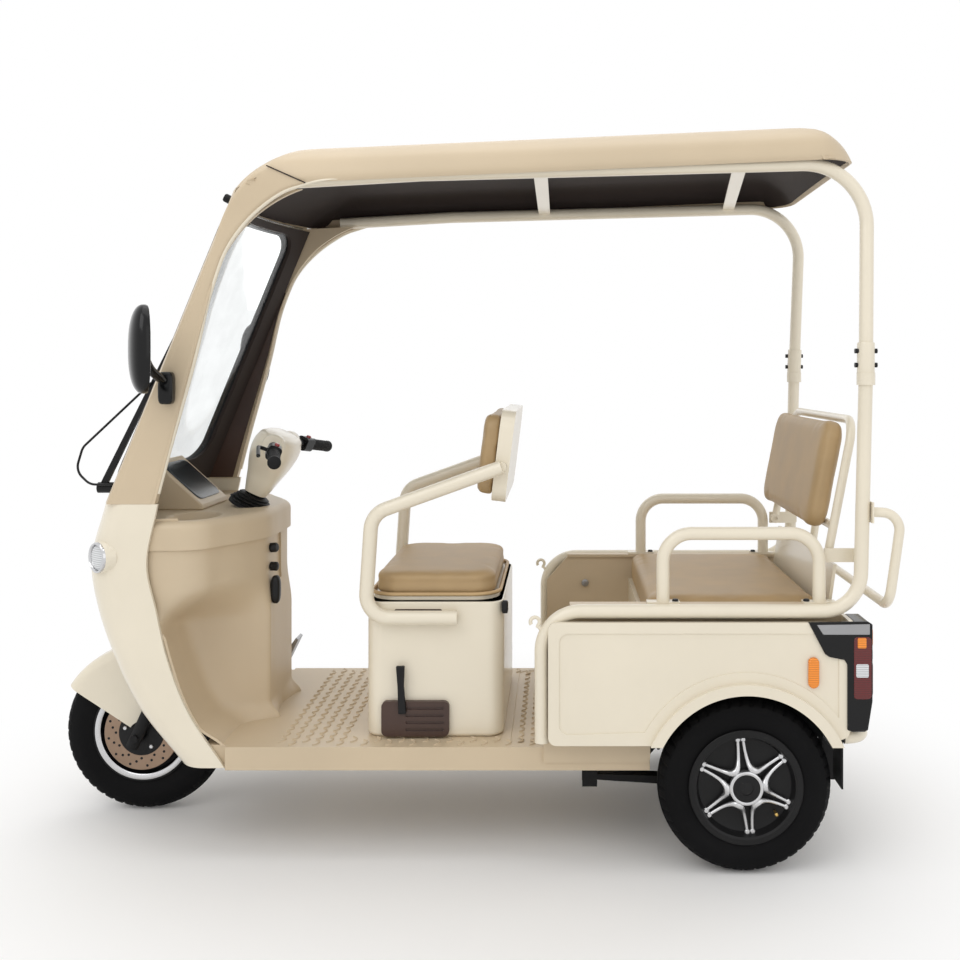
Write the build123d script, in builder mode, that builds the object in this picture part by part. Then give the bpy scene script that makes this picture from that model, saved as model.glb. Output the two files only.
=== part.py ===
"""Covered electric passenger tricycle as an assembly of separate pieces.

Millimetres. +X points to the front wheel, +Y to the left side and +Z up; the ground is z = 0 and the
middle of the overall length is x = 0. The steered front end is drawn on a plane square to the raked
steering axis, so the wheel, fork, guard and handlebar all turn about one line.
"""
import os
from math import cos, hypot, radians, sin, sqrt, tan

from build123d import *

# Clearances used all over the model
RUNNING = 0.05
SEAT_GAP = 0.3

# Widths, each taken from the one before it
COWL_HALF_WIDTH = 360
FLOOR_HALF_WIDTH = COWL_HALF_WIDTH + 5
INNER_WALL_Y = FLOOR_HALF_WIDTH
WHEEL_ROOM = 75
BOX_HALF_WIDTH = INNER_WALL_Y + WHEEL_ROOM
TRACK_HALF = BOX_HALF_WIDTH - 50
RIM_Y = BOX_HALF_WIDTH - 30
ROOF_HALF_WIDTH = BOX_HALF_WIDTH - 28
ROOF_TUBE_Y = COWL_HALF_WIDTH + 17.3

# Wheels and stance
WHEELBASE = 1589
FRONT_AXLE_X = 877
REAR_AXLE_X = FRONT_AXLE_X - WHEELBASE
FRONT_TYRE_R = 220
REAR_TYRE_R = FRONT_TYRE_R - 10
TYRE_HALF_WIDTH = 43
RIM_SEAT_R = REAR_TYRE_R - 83
RIM_FLANGE_R = RIM_SEAT_R + 11
RIM_HALF_WIDTH = TYRE_HALF_WIDTH
RIM_WALL = 10
SPOKE_COUNT = 6

# Steering axis: it runs through the front axle, leaning back
RAKE = 24.6
STEER = Plane(
    origin=(FRONT_AXLE_X, 0, FRONT_TYRE_R),
    x_dir=(cos(radians(RAKE)), 0, sin(radians(RAKE))),
    z_dir=(-sin(radians(RAKE)), 0, cos(radians(RAKE))),
)
FRONT_AXLE = Axis((FRONT_AXLE_X, 0, FRONT_TYRE_R), (0, 1, 0))
FORK_LEG_Y = TYRE_HALF_WIDTH + 45
FORK_LEG_R = 17
FORK_CHEEK = 6
FRONT_AXLE_R = 10
YOKE_S = FRONT_TYRE_R + 65
YOKE_THICK = 26
STEERER_R = 16
HEAD_TUBE_S = YOKE_S + 37
HEAD_TUBE_LENGTH = 150
HEAD_TUBE_R = 30
GUARD_R = FRONT_TYRE_R + 17
GUARD_SIDE_R = FRONT_TYRE_R - 28
GUARD_HALF_WIDTH = TYRE_HALF_WIDTH + 21
GUARD_SKIN = 4

# Floor and frame
FLOOR_TOP = 285
FLOOR_SKIN = 18
FLOOR_FRONT_X = 612
FLOOR_REAR_X = -487
FLOOR_STEP_X = 556
MAT_DEPTH = 2
SKIRT_BOTTOM = 228
RAIL_Y = 230
RAIL_WIDTH = 40
RAIL_TOP = FLOOR_TOP - FLOOR_SKIN
RAIL_BOTTOM = RAIL_TOP - 40
RAIL_REAR_BOTTOM = 300
RAIL_REAR_TOP = 340
RAIL_REAR_X = -985

# Cowl, dash and windscreen
COWL_SKIN = 12
COWL_TOP = 880
SCREEN_TOP = 1660
SCREEN_LEAN = 0.41
BULGE = 80
COWL_EDGE_X = 848
DASH_TOP = 835
DASH_DEPTH = 70
DASH_SKIN = 10
BOLSTER_BOTTOM = 630
COLUMN_HALF_WIDTH = 130
COLUMN_REAR_X = 508
COLUMN_SKIN = 12
HEADLAMP_X = 926
HEADLAMP_Z = 688
HEADLAMP_R = 72
CORNER_LAMP_Z = 748
CORNER_LAMP_R = 38
CORNER_LAMP_TURN = 50
CORNER_LAMP_PROUD = 5
CORNER_LAMP_DEPTH = 34

# Places on the steering axis, measured from where it passes through the dash top
DASH_S = (DASH_TOP - FRONT_TYRE_R) / cos(radians(RAKE))
STEERER_TOP_S = DASH_S + 114
BAR_S = DASH_S + 192

# Roof
ROOF_REAR_X = -993
ROOF_SLOPE = 2.5
ROOF_LIP_Z = 1691
ROOF_MID_X = -278
ROOF_SKIN = 8
LINING_SKIN = 5
ROOF_TUBE_R = 17

# Driver's seat
SEAT_FRONT_X = 223
SEAT_REAR_X = -123
SEAT_BOX_HALF_WIDTH = 290
SEAT_BOX_TOP = 626
SEAT_BOX_SKIN = 8
SEAT_PAN_THICK = 10
CUSHION_TOP = 692
CUSHION_HALF_WIDTH = SEAT_BOX_HALF_WIDTH - 22
ARM_R = 18
ARM_Y = SEAT_BOX_HALF_WIDTH + ARM_R + 1

# Passenger box
BOX_SKIN = 13
BOX_FRONT_X = -238
BOX_REAR_X = -958
BOX_BOTTOM = 313
RIM_Z = 628
RIM_R = 17
RIM_FRONT_X = BOX_FRONT_X + 16
POST_BOTTOM_X = -990
POST_JOINT_X = -1004
POST_JOINT_Z = 1204
ARCH_R = REAR_TYRE_R + 16
ARCH_SKIN = 5
ARCH_LIP = 14
WHEEL_HOUSE_Y = TRACK_HALF - TYRE_HALF_WIDTH - 14
INNER_WALL_SKIN = 8
BENCH_TOP = 565
BENCH_SKIN = 8
BENCH_CUSHION_TOP = 645
HANDRAIL_Y = INNER_WALL_Y + 10
HANDRAIL_R = 16
HANDRAIL_TOP = 827

# Folding backrest of the bench: its plane leans back from the pivot line
BACK_LEAN = 11
BACK_PIVOT_X = -930
BACK_PIVOT_Z = 755
BACK = Plane(
    origin=(BACK_PIVOT_X, 0, BACK_PIVOT_Z),
    x_dir=(0, 1, 0),
    z_dir=(cos(radians(BACK_LEAN)), 0, sin(radians(BACK_LEAN))),
)
BACK_BAR_Y = INNER_WALL_Y - 27
BACK_BAR_R = 11
BACK_LENGTH = 337
BACK_PIN_R = 6

pieces = []


def at_y(y):
    """Side-view sketch plane at the given y, extruding towards the right side."""
    return Plane.XZ.offset(-y)


# Steered front end

FORK_HALF = FORK_LEG_Y + FORK_LEG_R + FORK_CHEEK
FORK_FOOT = 30
with BuildPart() as fork:
    with BuildSketch(STEER.offset(-FORK_FOOT)):
        with Locations((0, FORK_LEG_Y), (0, -FORK_LEG_Y)):
            Circle(FORK_LEG_R)
    extrude(amount=YOKE_S + YOKE_THICK + FORK_FOOT)
    with BuildSketch(STEER.offset(YOKE_S)):
        SlotOverall(2 * FORK_HALF, 2 * (FORK_LEG_R + 7), rotation=90)
    extrude(amount=YOKE_THICK)
    with BuildSketch(STEER.offset(YOKE_S)):
        Circle(STEERER_R)
    extrude(amount=STEERER_TOP_S - YOKE_S)
    with BuildSketch(at_y(FORK_HALF)):
        with Locations((FRONT_AXLE_X, FRONT_TYRE_R)):
            Circle(FRONT_AXLE_R)
    extrude(amount=2 * FORK_HALF)
fork.part.label = "fork"
pieces.append(fork.part)

# The guard is a bent U over the tyre with an ear on each side down to the fork
GUARD_FRONT_ANGLE = 33
GUARD_REAR_ANGLE = 150
GUARD_INNER = GUARD_HALF_WIDTH - GUARD_SKIN
GUARD_BOSS_S = 44
GUARD_BOSS_REACH = FORK_LEG_Y - FORK_LEG_R - SEAT_GAP
GUARD_EAR = (  # shares of the guard radius: forward and up from the axle
    (0.74, 0.50),
    (0.07, 0.10),
    (-0.04, 0.13),
    (-0.11, 0.78),
    (0.35, 0.74),
)
ear_points = [(FRONT_AXLE_X + GUARD_R * along, FRONT_TYRE_R + GUARD_R * up) for along, up in GUARD_EAR]
boss_centre = STEER.origin + STEER.z_dir * GUARD_BOSS_S
guard_plane = Plane(
    origin=(FRONT_AXLE_X, 0, FRONT_TYRE_R),
    x_dir=(0, 1, 0),
    z_dir=(sin(radians(GUARD_REAR_ANGLE)), 0, -cos(radians(GUARD_REAR_ANGLE))),
)
with BuildPart() as front_guard:
    with BuildSketch(guard_plane):
        with Locations((0, (GUARD_R + GUARD_SIDE_R) / 2)):
            Rectangle(2 * GUARD_HALF_WIDTH, GUARD_R - GUARD_SIDE_R)
        with Locations((0, (GUARD_R - GUARD_SKIN + GUARD_SIDE_R) / 2)):
            Rectangle(2 * GUARD_INNER, GUARD_R - GUARD_SKIN - GUARD_SIDE_R, mode=Mode.SUBTRACT)
    revolve(axis=FRONT_AXLE, revolution_arc=GUARD_REAR_ANGLE - GUARD_FRONT_ANGLE)
    for ear_y, boss_y in ((GUARD_HALF_WIDTH, GUARD_BOSS_REACH), (-GUARD_INNER, -GUARD_HALF_WIDTH)):
        with BuildSketch(at_y(ear_y)):
            with BuildLine():
                Polyline(*ear_points, close=True)
            make_face()
        extrude(amount=GUARD_SKIN)
        with BuildSketch(at_y(boss_y)):
            with Locations((boss_centre.X, boss_centre.Z)):
                Circle(8)
        extrude(amount=GUARD_BOSS_REACH - GUARD_HALF_WIDTH)
front_guard.part.label = "front_mudguard"
pieces.append(front_guard.part)

# Handlebar, its cover, the two grips and the switch blocks with their brake levers
BAR_R = 11
GRIP_R = 16
GRIP_LENGTH = 118
BAR_TIP_X = -74
BAR_TIP_Y = 312
BAR_ROUTE = ((BAR_TIP_X, BAR_TIP_Y), (-8, 90), (-8, -90), (BAR_TIP_X, -BAR_TIP_Y))
BAR_BEND = 60
with BuildPart() as handlebar:
    with BuildLine(STEER.offset(BAR_S)) as bar_path:
        FilletPolyline(*BAR_ROUTE, radius=BAR_BEND)
    with BuildSketch(Plane(origin=bar_path.line @ 0, z_dir=bar_path.line % 0)):
        Circle(BAR_R)
    sweep()
handlebar.part.label = "handlebar"
pieces.append(handlebar.part)

with BuildPart() as bar_room:
    with BuildLine(STEER.offset(BAR_S)) as room_path:
        FilletPolyline(*BAR_ROUTE, radius=BAR_BEND)
    with BuildSketch(Plane(origin=room_path.line @ 0, z_dir=room_path.line % 0)):
        Circle(BAR_R + RUNNING)
    sweep()

COVER_SECTIONS = (  # height over the dash along the axis, depth, width, corner radius
    (40, 64, 64, 30),
    (96, 88, 92, 38),
    (140, 112, 158, 44),
    (174, 120, 190, 46),
    (206, 106, 182, 44),
    (222, 78, 150, 36),
)
with BuildPart() as column_cover:
    for height, depth, width, corner in COVER_SECTIONS:
        with BuildSketch(STEER.offset(DASH_S + height)):
            RectangleRounded(depth, width, corner)
    loft(ruled=True)
    with BuildSketch(STEER.offset(DASH_S)):
        Circle(STEERER_R + RUNNING)
    extrude(amount=STEERER_TOP_S - DASH_S + SEAT_GAP, mode=Mode.SUBTRACT)
    add(bar_room.part, mode=Mode.SUBTRACT)
column_cover.part.label = "column_cover"
pieces.append(column_cover.part)

with BuildPart() as grips:
    for end in (0, 1):
        tip = bar_path.line @ end
        inward = (bar_path.line % end) * (1 if end == 0 else -1)
        with BuildSketch(Plane(origin=tip - inward * 6, z_dir=inward)):
            Circle(GRIP_R)
        extrude(amount=GRIP_LENGTH)
        with BuildSketch(Plane(origin=tip, z_dir=inward)):
            Circle(BAR_R + RUNNING)
        extrude(amount=GRIP_LENGTH, mode=Mode.SUBTRACT)
grips.part.label = "grips"
pieces.append(grips.part)

SWITCH_LENGTH = 44
SWITCH_START = GRIP_LENGTH - 4
LEVER_R = 5
LEVER_REACH = 42
with BuildPart() as switchgear:
    for end in (0, 1):
        tip = bar_path.line @ end
        inward = (bar_path.line % end) * (1 if end == 0 else -1)
        forward = STEER.z_dir.cross(inward) * (-1 if end == 0 else 1)
        if forward.X < 0:
            forward = forward * -1
        block_start = tip + inward * SWITCH_START
        lever_root = tip + inward * (SWITCH_START + SWITCH_LENGTH / 2) + forward * 14
        with BuildLine() as lever_path:
            FilletPolyline(
                lever_root,
                lever_root + forward * (LEVER_REACH - 14),
                tip + inward * 8 + forward * LEVER_REACH,
                radius=16,
            )
        with BuildSketch(Plane(origin=lever_path.line @ 0, z_dir=lever_path.line % 0)):
            Circle(LEVER_R)
        sweep(path=lever_path.line)
        with BuildSketch(Plane(origin=block_start, x_dir=STEER.z_dir, z_dir=inward)):
            RectangleRounded(40, 36, 10)
        extrude(amount=SWITCH_LENGTH)
        with BuildSketch(Plane(origin=block_start, z_dir=inward)):
            Circle(BAR_R + RUNNING)
        extrude(amount=SWITCH_LENGTH, mode=Mode.SUBTRACT)
switchgear.part.label = "switchgear"
pieces.append(switchgear.part)

# Wheels: (name, axle x, axle z, centre y, tyre radius, shaft radius)
HUB_R = 34
HUB_HALF = 50
DISC_R = 102
DISC_THICK = 4
REAR_STUB_R = 14
BEAD_HALF = TYRE_HALF_WIDTH - 10
TREAD_HALF = TYRE_HALF_WIDTH - 8
FLANGE_WALL = 3
SPOKE_RING_R = (RIM_SEAT_R + HUB_R) / 2 + 3
WHEELS = (
    ("front", FRONT_AXLE_X, FRONT_TYRE_R, 0, FRONT_TYRE_R, FRONT_AXLE_R),
    ("rear_left", REAR_AXLE_X, REAR_TYRE_R, TRACK_HALF, REAR_TYRE_R, REAR_STUB_R),
    ("rear_right", REAR_AXLE_X, REAR_TYRE_R, -TRACK_HALF, REAR_TYRE_R, REAR_STUB_R),
)
for name, axle_x, axle_z, centre_y, tyre_r, shaft_r in WHEELS:
    spin = Axis((axle_x, centre_y, axle_z), (0, 1, 0))
    half_plane = Plane(origin=(axle_x, centre_y, axle_z), x_dir=(0, 1, 0), z_dir=(1, 0, 0))
    bead_r = RIM_SEAT_R + SEAT_GAP
    wide_r = (tyre_r + bead_r) / 2
    shoulder_r = tyre_r - 16
    with BuildPart() as tyre:
        with BuildSketch(half_plane):
            with BuildLine():
                Line((-BEAD_HALF, bead_r), (BEAD_HALF, bead_r))
                ThreePointArc((BEAD_HALF, bead_r), (TYRE_HALF_WIDTH, wide_r), (TREAD_HALF, shoulder_r))
                ThreePointArc((TREAD_HALF, shoulder_r), (0, tyre_r), (-TREAD_HALF, shoulder_r))
                ThreePointArc((-TREAD_HALF, shoulder_r), (-TYRE_HALF_WIDTH, wide_r), (-BEAD_HALF, bead_r))
            make_face()
        revolve(axis=spin)
    tyre.part.label = f"{name}_tyre"
    pieces.append(tyre.part)
    with BuildPart() as rim:
        with BuildSketch(half_plane):
            with BuildLine():
                Polyline(
                    (-RIM_HALF_WIDTH, RIM_SEAT_R - RIM_WALL),
                    (-RIM_HALF_WIDTH, RIM_FLANGE_R),
                    (-RIM_HALF_WIDTH + FLANGE_WALL, RIM_FLANGE_R),
                    (-RIM_HALF_WIDTH + FLANGE_WALL, RIM_SEAT_R),
                    (RIM_HALF_WIDTH - FLANGE_WALL, RIM_SEAT_R),
                    (RIM_HALF_WIDTH - FLANGE_WALL, RIM_FLANGE_R),
                    (RIM_HALF_WIDTH, RIM_FLANGE_R),
                    (RIM_HALF_WIDTH, RIM_SEAT_R - RIM_WALL),
                    close=True,
                )
            make_face()
            with BuildLine():
                Polyline((-HUB_HALF, 0), (-HUB_HALF, HUB_R), (HUB_HALF, HUB_R), (HUB_HALF, 0), close=True)
            make_face()
        revolve(axis=spin)
        with BuildSketch(at_y(centre_y + 14)):
            with Locations((axle_x, axle_z)):
                Circle(RIM_SEAT_R - 4)
                with PolarLocations(SPOKE_RING_R, SPOKE_COUNT, start_angle=30):
                    SlotOverall(46, 30, rotation=90, mode=Mode.SUBTRACT)
        extrude(amount=14)
        with BuildSketch(at_y(centre_y + HUB_HALF + 1)):
            with Locations((axle_x, axle_z)):
                Circle(shaft_r + RUNNING)
        extrude(amount=2 * HUB_HALF + 2, mode=Mode.SUBTRACT)
    rim.part.label = f"{name}_rim"
    pieces.append(rim.part)

with BuildPart() as brake_disc:
    with BuildSketch(at_y(HUB_HALF + DISC_THICK)):
        with Locations((FRONT_AXLE_X, FRONT_TYRE_R)):
            Circle(DISC_R)
            Circle(FRONT_AXLE_R + 6, mode=Mode.SUBTRACT)
            with PolarLocations(54, 6):
                Circle(11, mode=Mode.SUBTRACT)
    extrude(amount=DISC_THICK)
brake_disc.part.label = "brake_disc"
pieces.append(brake_disc.part)

# Ladder frame with the steering head, the spring hangers and the shackles
HANGER_X = REAR_AXLE_X + 370
SHACKLE_X = REAR_AXLE_X - 243
SPRING_HALF_WIDTH = 19
CHEEK = 6
SPRING_EYE_Z = 172
SHACKLE_EYE_Z = 190
SPRING_PIN_R = 7
RAIL_FRONT_X = FLOOR_FRONT_X - 37
RAIL_OUTER_Y = RAIL_Y + RAIL_WIDTH / 2
SPRING_MOUNTS = (  # eye x, eye z, top of the cheeks
    (HANGER_X, SPRING_EYE_Z, RAIL_TOP - 8),
    (SHACKLE_X, SHACKLE_EYE_Z, RAIL_REAR_TOP - 8),
)
CROSS_MEMBERS = (  # x, low z, high z
    (RAIL_FRONT_X - 20, RAIL_BOTTOM, RAIL_TOP),
    (100, RAIL_BOTTOM, RAIL_TOP),
    (-440, RAIL_BOTTOM, RAIL_TOP),
    (-600, RAIL_REAR_BOTTOM, RAIL_REAR_TOP),
    (-940, RAIL_REAR_BOTTOM, RAIL_REAR_TOP),
)
with BuildPart() as frame:
    with BuildSketch(at_y(RAIL_OUTER_Y)):
        with BuildLine():
            Polyline(
                (RAIL_FRONT_X, RAIL_BOTTOM),
                (FLOOR_REAR_X - 8, RAIL_BOTTOM),
                (FLOOR_REAR_X - 73, RAIL_REAR_BOTTOM),
                (RAIL_REAR_X, RAIL_REAR_BOTTOM),
                (RAIL_REAR_X, RAIL_REAR_TOP),
                (FLOOR_REAR_X - 65, RAIL_REAR_TOP),
                (FLOOR_REAR_X - 5, RAIL_TOP),
                (RAIL_FRONT_X, RAIL_TOP),
                close=True,
            )
        make_face()
    extrude(amount=RAIL_WIDTH)
    for eye_x, eye_z, top in SPRING_MOUNTS:
        for cheek_y in (RAIL_OUTER_Y + CHEEK, RAIL_OUTER_Y - RAIL_WIDTH):
            with BuildSketch(at_y(cheek_y)):
                with Locations((eye_x, (eye_z - 24 + top) / 2)):
                    Rectangle(38, top - eye_z + 24)
            extrude(amount=CHEEK)
        with BuildSketch(at_y(RAIL_OUTER_Y)):
            with Locations((eye_x, eye_z)):
                Circle(SPRING_PIN_R)
        extrude(amount=RAIL_WIDTH)
    mirror(about=Plane.XZ)
    for cross_x, low, high in CROSS_MEMBERS:
        with Locations((cross_x, 0, (low + high) / 2)):
            Box(40, 2 * RAIL_Y, high - low)
    with BuildSketch(STEER.offset(HEAD_TUBE_S)):
        Circle(HEAD_TUBE_R)
    extrude(amount=HEAD_TUBE_LENGTH)
    head_middle = STEER.origin + STEER.z_dir * (HEAD_TUBE_S + 0.78 * HEAD_TUBE_LENGTH)
    with BuildLine() as down_path:
        Line(head_middle, (RAIL_FRONT_X - 19, 0, RAIL_TOP - 15))
    with BuildSketch(Plane(origin=down_path.line @ 0, z_dir=down_path.line % 0)):
        Circle(20)
    sweep()
    with BuildSketch(STEER.offset(HEAD_TUBE_S - 20)):
        Circle(STEERER_R + RUNNING)
    extrude(amount=HEAD_TUBE_LENGTH + 40, mode=Mode.SUBTRACT)
frame.part.label = "frame"
pieces.append(frame.part)

FLOOR_LIP_Y = COWL_HALF_WIDTH - COWL_SKIN - SEAT_GAP
COLUMN_ROOM = COLUMN_HALF_WIDTH - COLUMN_SKIN
with BuildPart() as floor_pan:
    with BuildSketch(Plane.XY.offset(SKIRT_BOTTOM)):
        with BuildLine():
            Polyline(
                (COLUMN_REAR_X + COLUMN_SKIN, COLUMN_ROOM),
                (FLOOR_FRONT_X, COLUMN_ROOM),
                (FLOOR_FRONT_X, FLOOR_LIP_Y),
                (FLOOR_STEP_X, FLOOR_LIP_Y),
                (FLOOR_STEP_X, FLOOR_HALF_WIDTH),
                (FLOOR_REAR_X, FLOOR_HALF_WIDTH),
                (FLOOR_REAR_X, -FLOOR_HALF_WIDTH),
                (FLOOR_STEP_X, -FLOOR_HALF_WIDTH),
                (FLOOR_STEP_X, -FLOOR_LIP_Y),
                (FLOOR_FRONT_X, -FLOOR_LIP_Y),
                (FLOOR_FRONT_X, -COLUMN_ROOM),
                (COLUMN_REAR_X + COLUMN_SKIN, -COLUMN_ROOM),
                close=True,
            )
        make_face()
    extrude(amount=FLOOR_TOP - SKIRT_BOTTOM)
    with BuildSketch(Plane.XY.offset(SKIRT_BOTTOM)):
        with Locations(((FLOOR_REAR_X + FLOOR_FRONT_X - FLOOR_SKIN) / 2, 0)):
            Rectangle(FLOOR_FRONT_X - FLOOR_SKIN - FLOOR_REAR_X, 2 * (FLOOR_HALF_WIDTH - FLOOR_SKIN))
    extrude(amount=RAIL_TOP - SKIRT_BOTTOM, mode=Mode.SUBTRACT)
    with BuildSketch(Plane.XY.offset(FLOOR_TOP - MAT_DEPTH)):
        with Locations(((FLOOR_REAR_X + SEAT_REAR_X) / 2, 0)):
            RectangleRounded(SEAT_REAR_X - FLOOR_REAR_X - 40, 2 * FLOOR_HALF_WIDTH - 60, 30)
    extrude(amount=MAT_DEPTH, mode=Mode.SUBTRACT)
floor_pan.part.label = "floor_pan"
pieces.append(floor_pan.part)

# Front cowl: one U-shaped section per height, open in the middle for the wheel
COWL_SECTIONS = (  # height, front corner x, bulge, depth of the side band
    (232, 655, 85, 97),
    (363, 760, 85, 114),
    (498, 826, 85, 126),
    (620, 867, 85, 139),
    (719, 883, 85, 133),
    (COWL_TOP, COWL_EDGE_X, BULGE, 125),
)
COWL_INNER = COWL_HALF_WIDTH - COWL_SKIN
WHEEL_GATE_HALF = GUARD_R + 1
WHEEL_GATE_TOP = FRONT_TYRE_R + GUARD_R + 55
WHEEL_GATE_LOW = 100
corner_share = (CORNER_LAMP_Z - COWL_SECTIONS[-2][0]) / (COWL_TOP - COWL_SECTIONS[-2][0])
corner_x = COWL_SECTIONS[-2][1] + corner_share * (COWL_EDGE_X - COWL_SECTIONS[-2][1])
corner_faces = [
    Plane(
        origin=(corner_x, side * COWL_HALF_WIDTH, CORNER_LAMP_Z),
        z_dir=(cos(radians(CORNER_LAMP_TURN)), side * sin(radians(CORNER_LAMP_TURN)), 0),
    )
    for side in (1, -1)
]
with BuildPart() as front_cowl:
    for height, edge_x, bulge, band in COWL_SECTIONS:
        band_x = edge_x - band
        skin_x = edge_x - COWL_SKIN
        with BuildSketch(Plane.XY.offset(height)):
            with BuildLine():
                ThreePointArc((edge_x, COWL_HALF_WIDTH), (edge_x + bulge, 0), (edge_x, -COWL_HALF_WIDTH))
                Polyline(
                    (edge_x, -COWL_HALF_WIDTH),
                    (band_x, -COWL_HALF_WIDTH),
                    (band_x, -COWL_INNER),
                    (skin_x, -COWL_INNER),
                )
                ThreePointArc((skin_x, -COWL_INNER), (skin_x + bulge, 0), (skin_x, COWL_INNER))
                Polyline(
                    (skin_x, COWL_INNER),
                    (band_x, COWL_INNER),
                    (band_x, COWL_HALF_WIDTH),
                    (edge_x, COWL_HALF_WIDTH),
                )
            make_face()
    loft(ruled=True)
    with BuildSketch(Plane.YZ.offset(COLUMN_REAR_X)):
        with Locations((0, (WHEEL_GATE_TOP + WHEEL_GATE_LOW) / 2)):
            RectangleRounded(2 * WHEEL_GATE_HALF, WHEEL_GATE_TOP - WHEEL_GATE_LOW, 90)
    extrude(amount=COWL_HALF_WIDTH * 2, mode=Mode.SUBTRACT)
    with BuildSketch(Plane.YZ.offset(FRONT_AXLE_X)):
        with Locations((0, HEADLAMP_Z)):
            Circle(HEADLAMP_R + SEAT_GAP)
    extrude(amount=COWL_HALF_WIDTH, mode=Mode.SUBTRACT)
    for corner_face in corner_faces:
        with BuildSketch(corner_face.offset(CORNER_LAMP_PROUD - CORNER_LAMP_DEPTH - SEAT_GAP)):
            Circle(CORNER_LAMP_R + SEAT_GAP)
        extrude(amount=CORNER_LAMP_DEPTH + 20, mode=Mode.SUBTRACT)
front_cowl.part.label = "front_cowl"
pieces.append(front_cowl.part)

with BuildPart() as headlamp:
    with BuildSketch(Plane.YZ.offset(HEADLAMP_X)):
        with Locations((0, HEADLAMP_Z)):
            Circle(HEADLAMP_R)
    extrude(amount=58)
    fillet(headlamp.edges().sort_by(Axis.X)[-1], 12)
    for corner_face in corner_faces:
        with BuildSketch(corner_face.offset(CORNER_LAMP_PROUD - CORNER_LAMP_DEPTH)):
            Circle(CORNER_LAMP_R)
        extrude(amount=CORNER_LAMP_DEPTH)
headlamp.part.label = "headlamp"
pieces.append(headlamp.part)

# Dash: shelf with a knee bolster under it, hollow middle column and a knee wall on each side
KNEE_SKIN = 12
KNEE_OVERLAP = 5
DASH_HALF_WIDTH = COWL_INNER - SEAT_GAP
DASH_FRONT_X = COWL_EDGE_X - 10
DASH_SIDE_X = 600
DASH_TAIL_X = COLUMN_REAR_X - 4
SHELF_BOTTOM = DASH_TOP - DASH_DEPTH
KNEE_LINE = (  # rear face of the knee wall, from the floor up: x, z
    (FLOOR_FRONT_X - KNEE_SKIN, FLOOR_TOP),
    (653, 363),
    (707, 498),
    (737, 620),
    (752, SHELF_BOTTOM),
    (752, DASH_TOP - KNEE_OVERLAP),
)
DASH_LAYERS = (  # inset from the shelf outline, low z, high z, mode
    (0, SHELF_BOTTOM, DASH_TOP, Mode.ADD),
    (15, BOLSTER_BOTTOM, SHELF_BOTTOM, Mode.ADD),
    (15 + DASH_SKIN, BOLSTER_BOTTOM + DASH_SKIN, DASH_TOP - DASH_SKIN, Mode.SUBTRACT),
)
knee_front = [(x + KNEE_SKIN, z) for x, z in KNEE_LINE]
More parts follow.
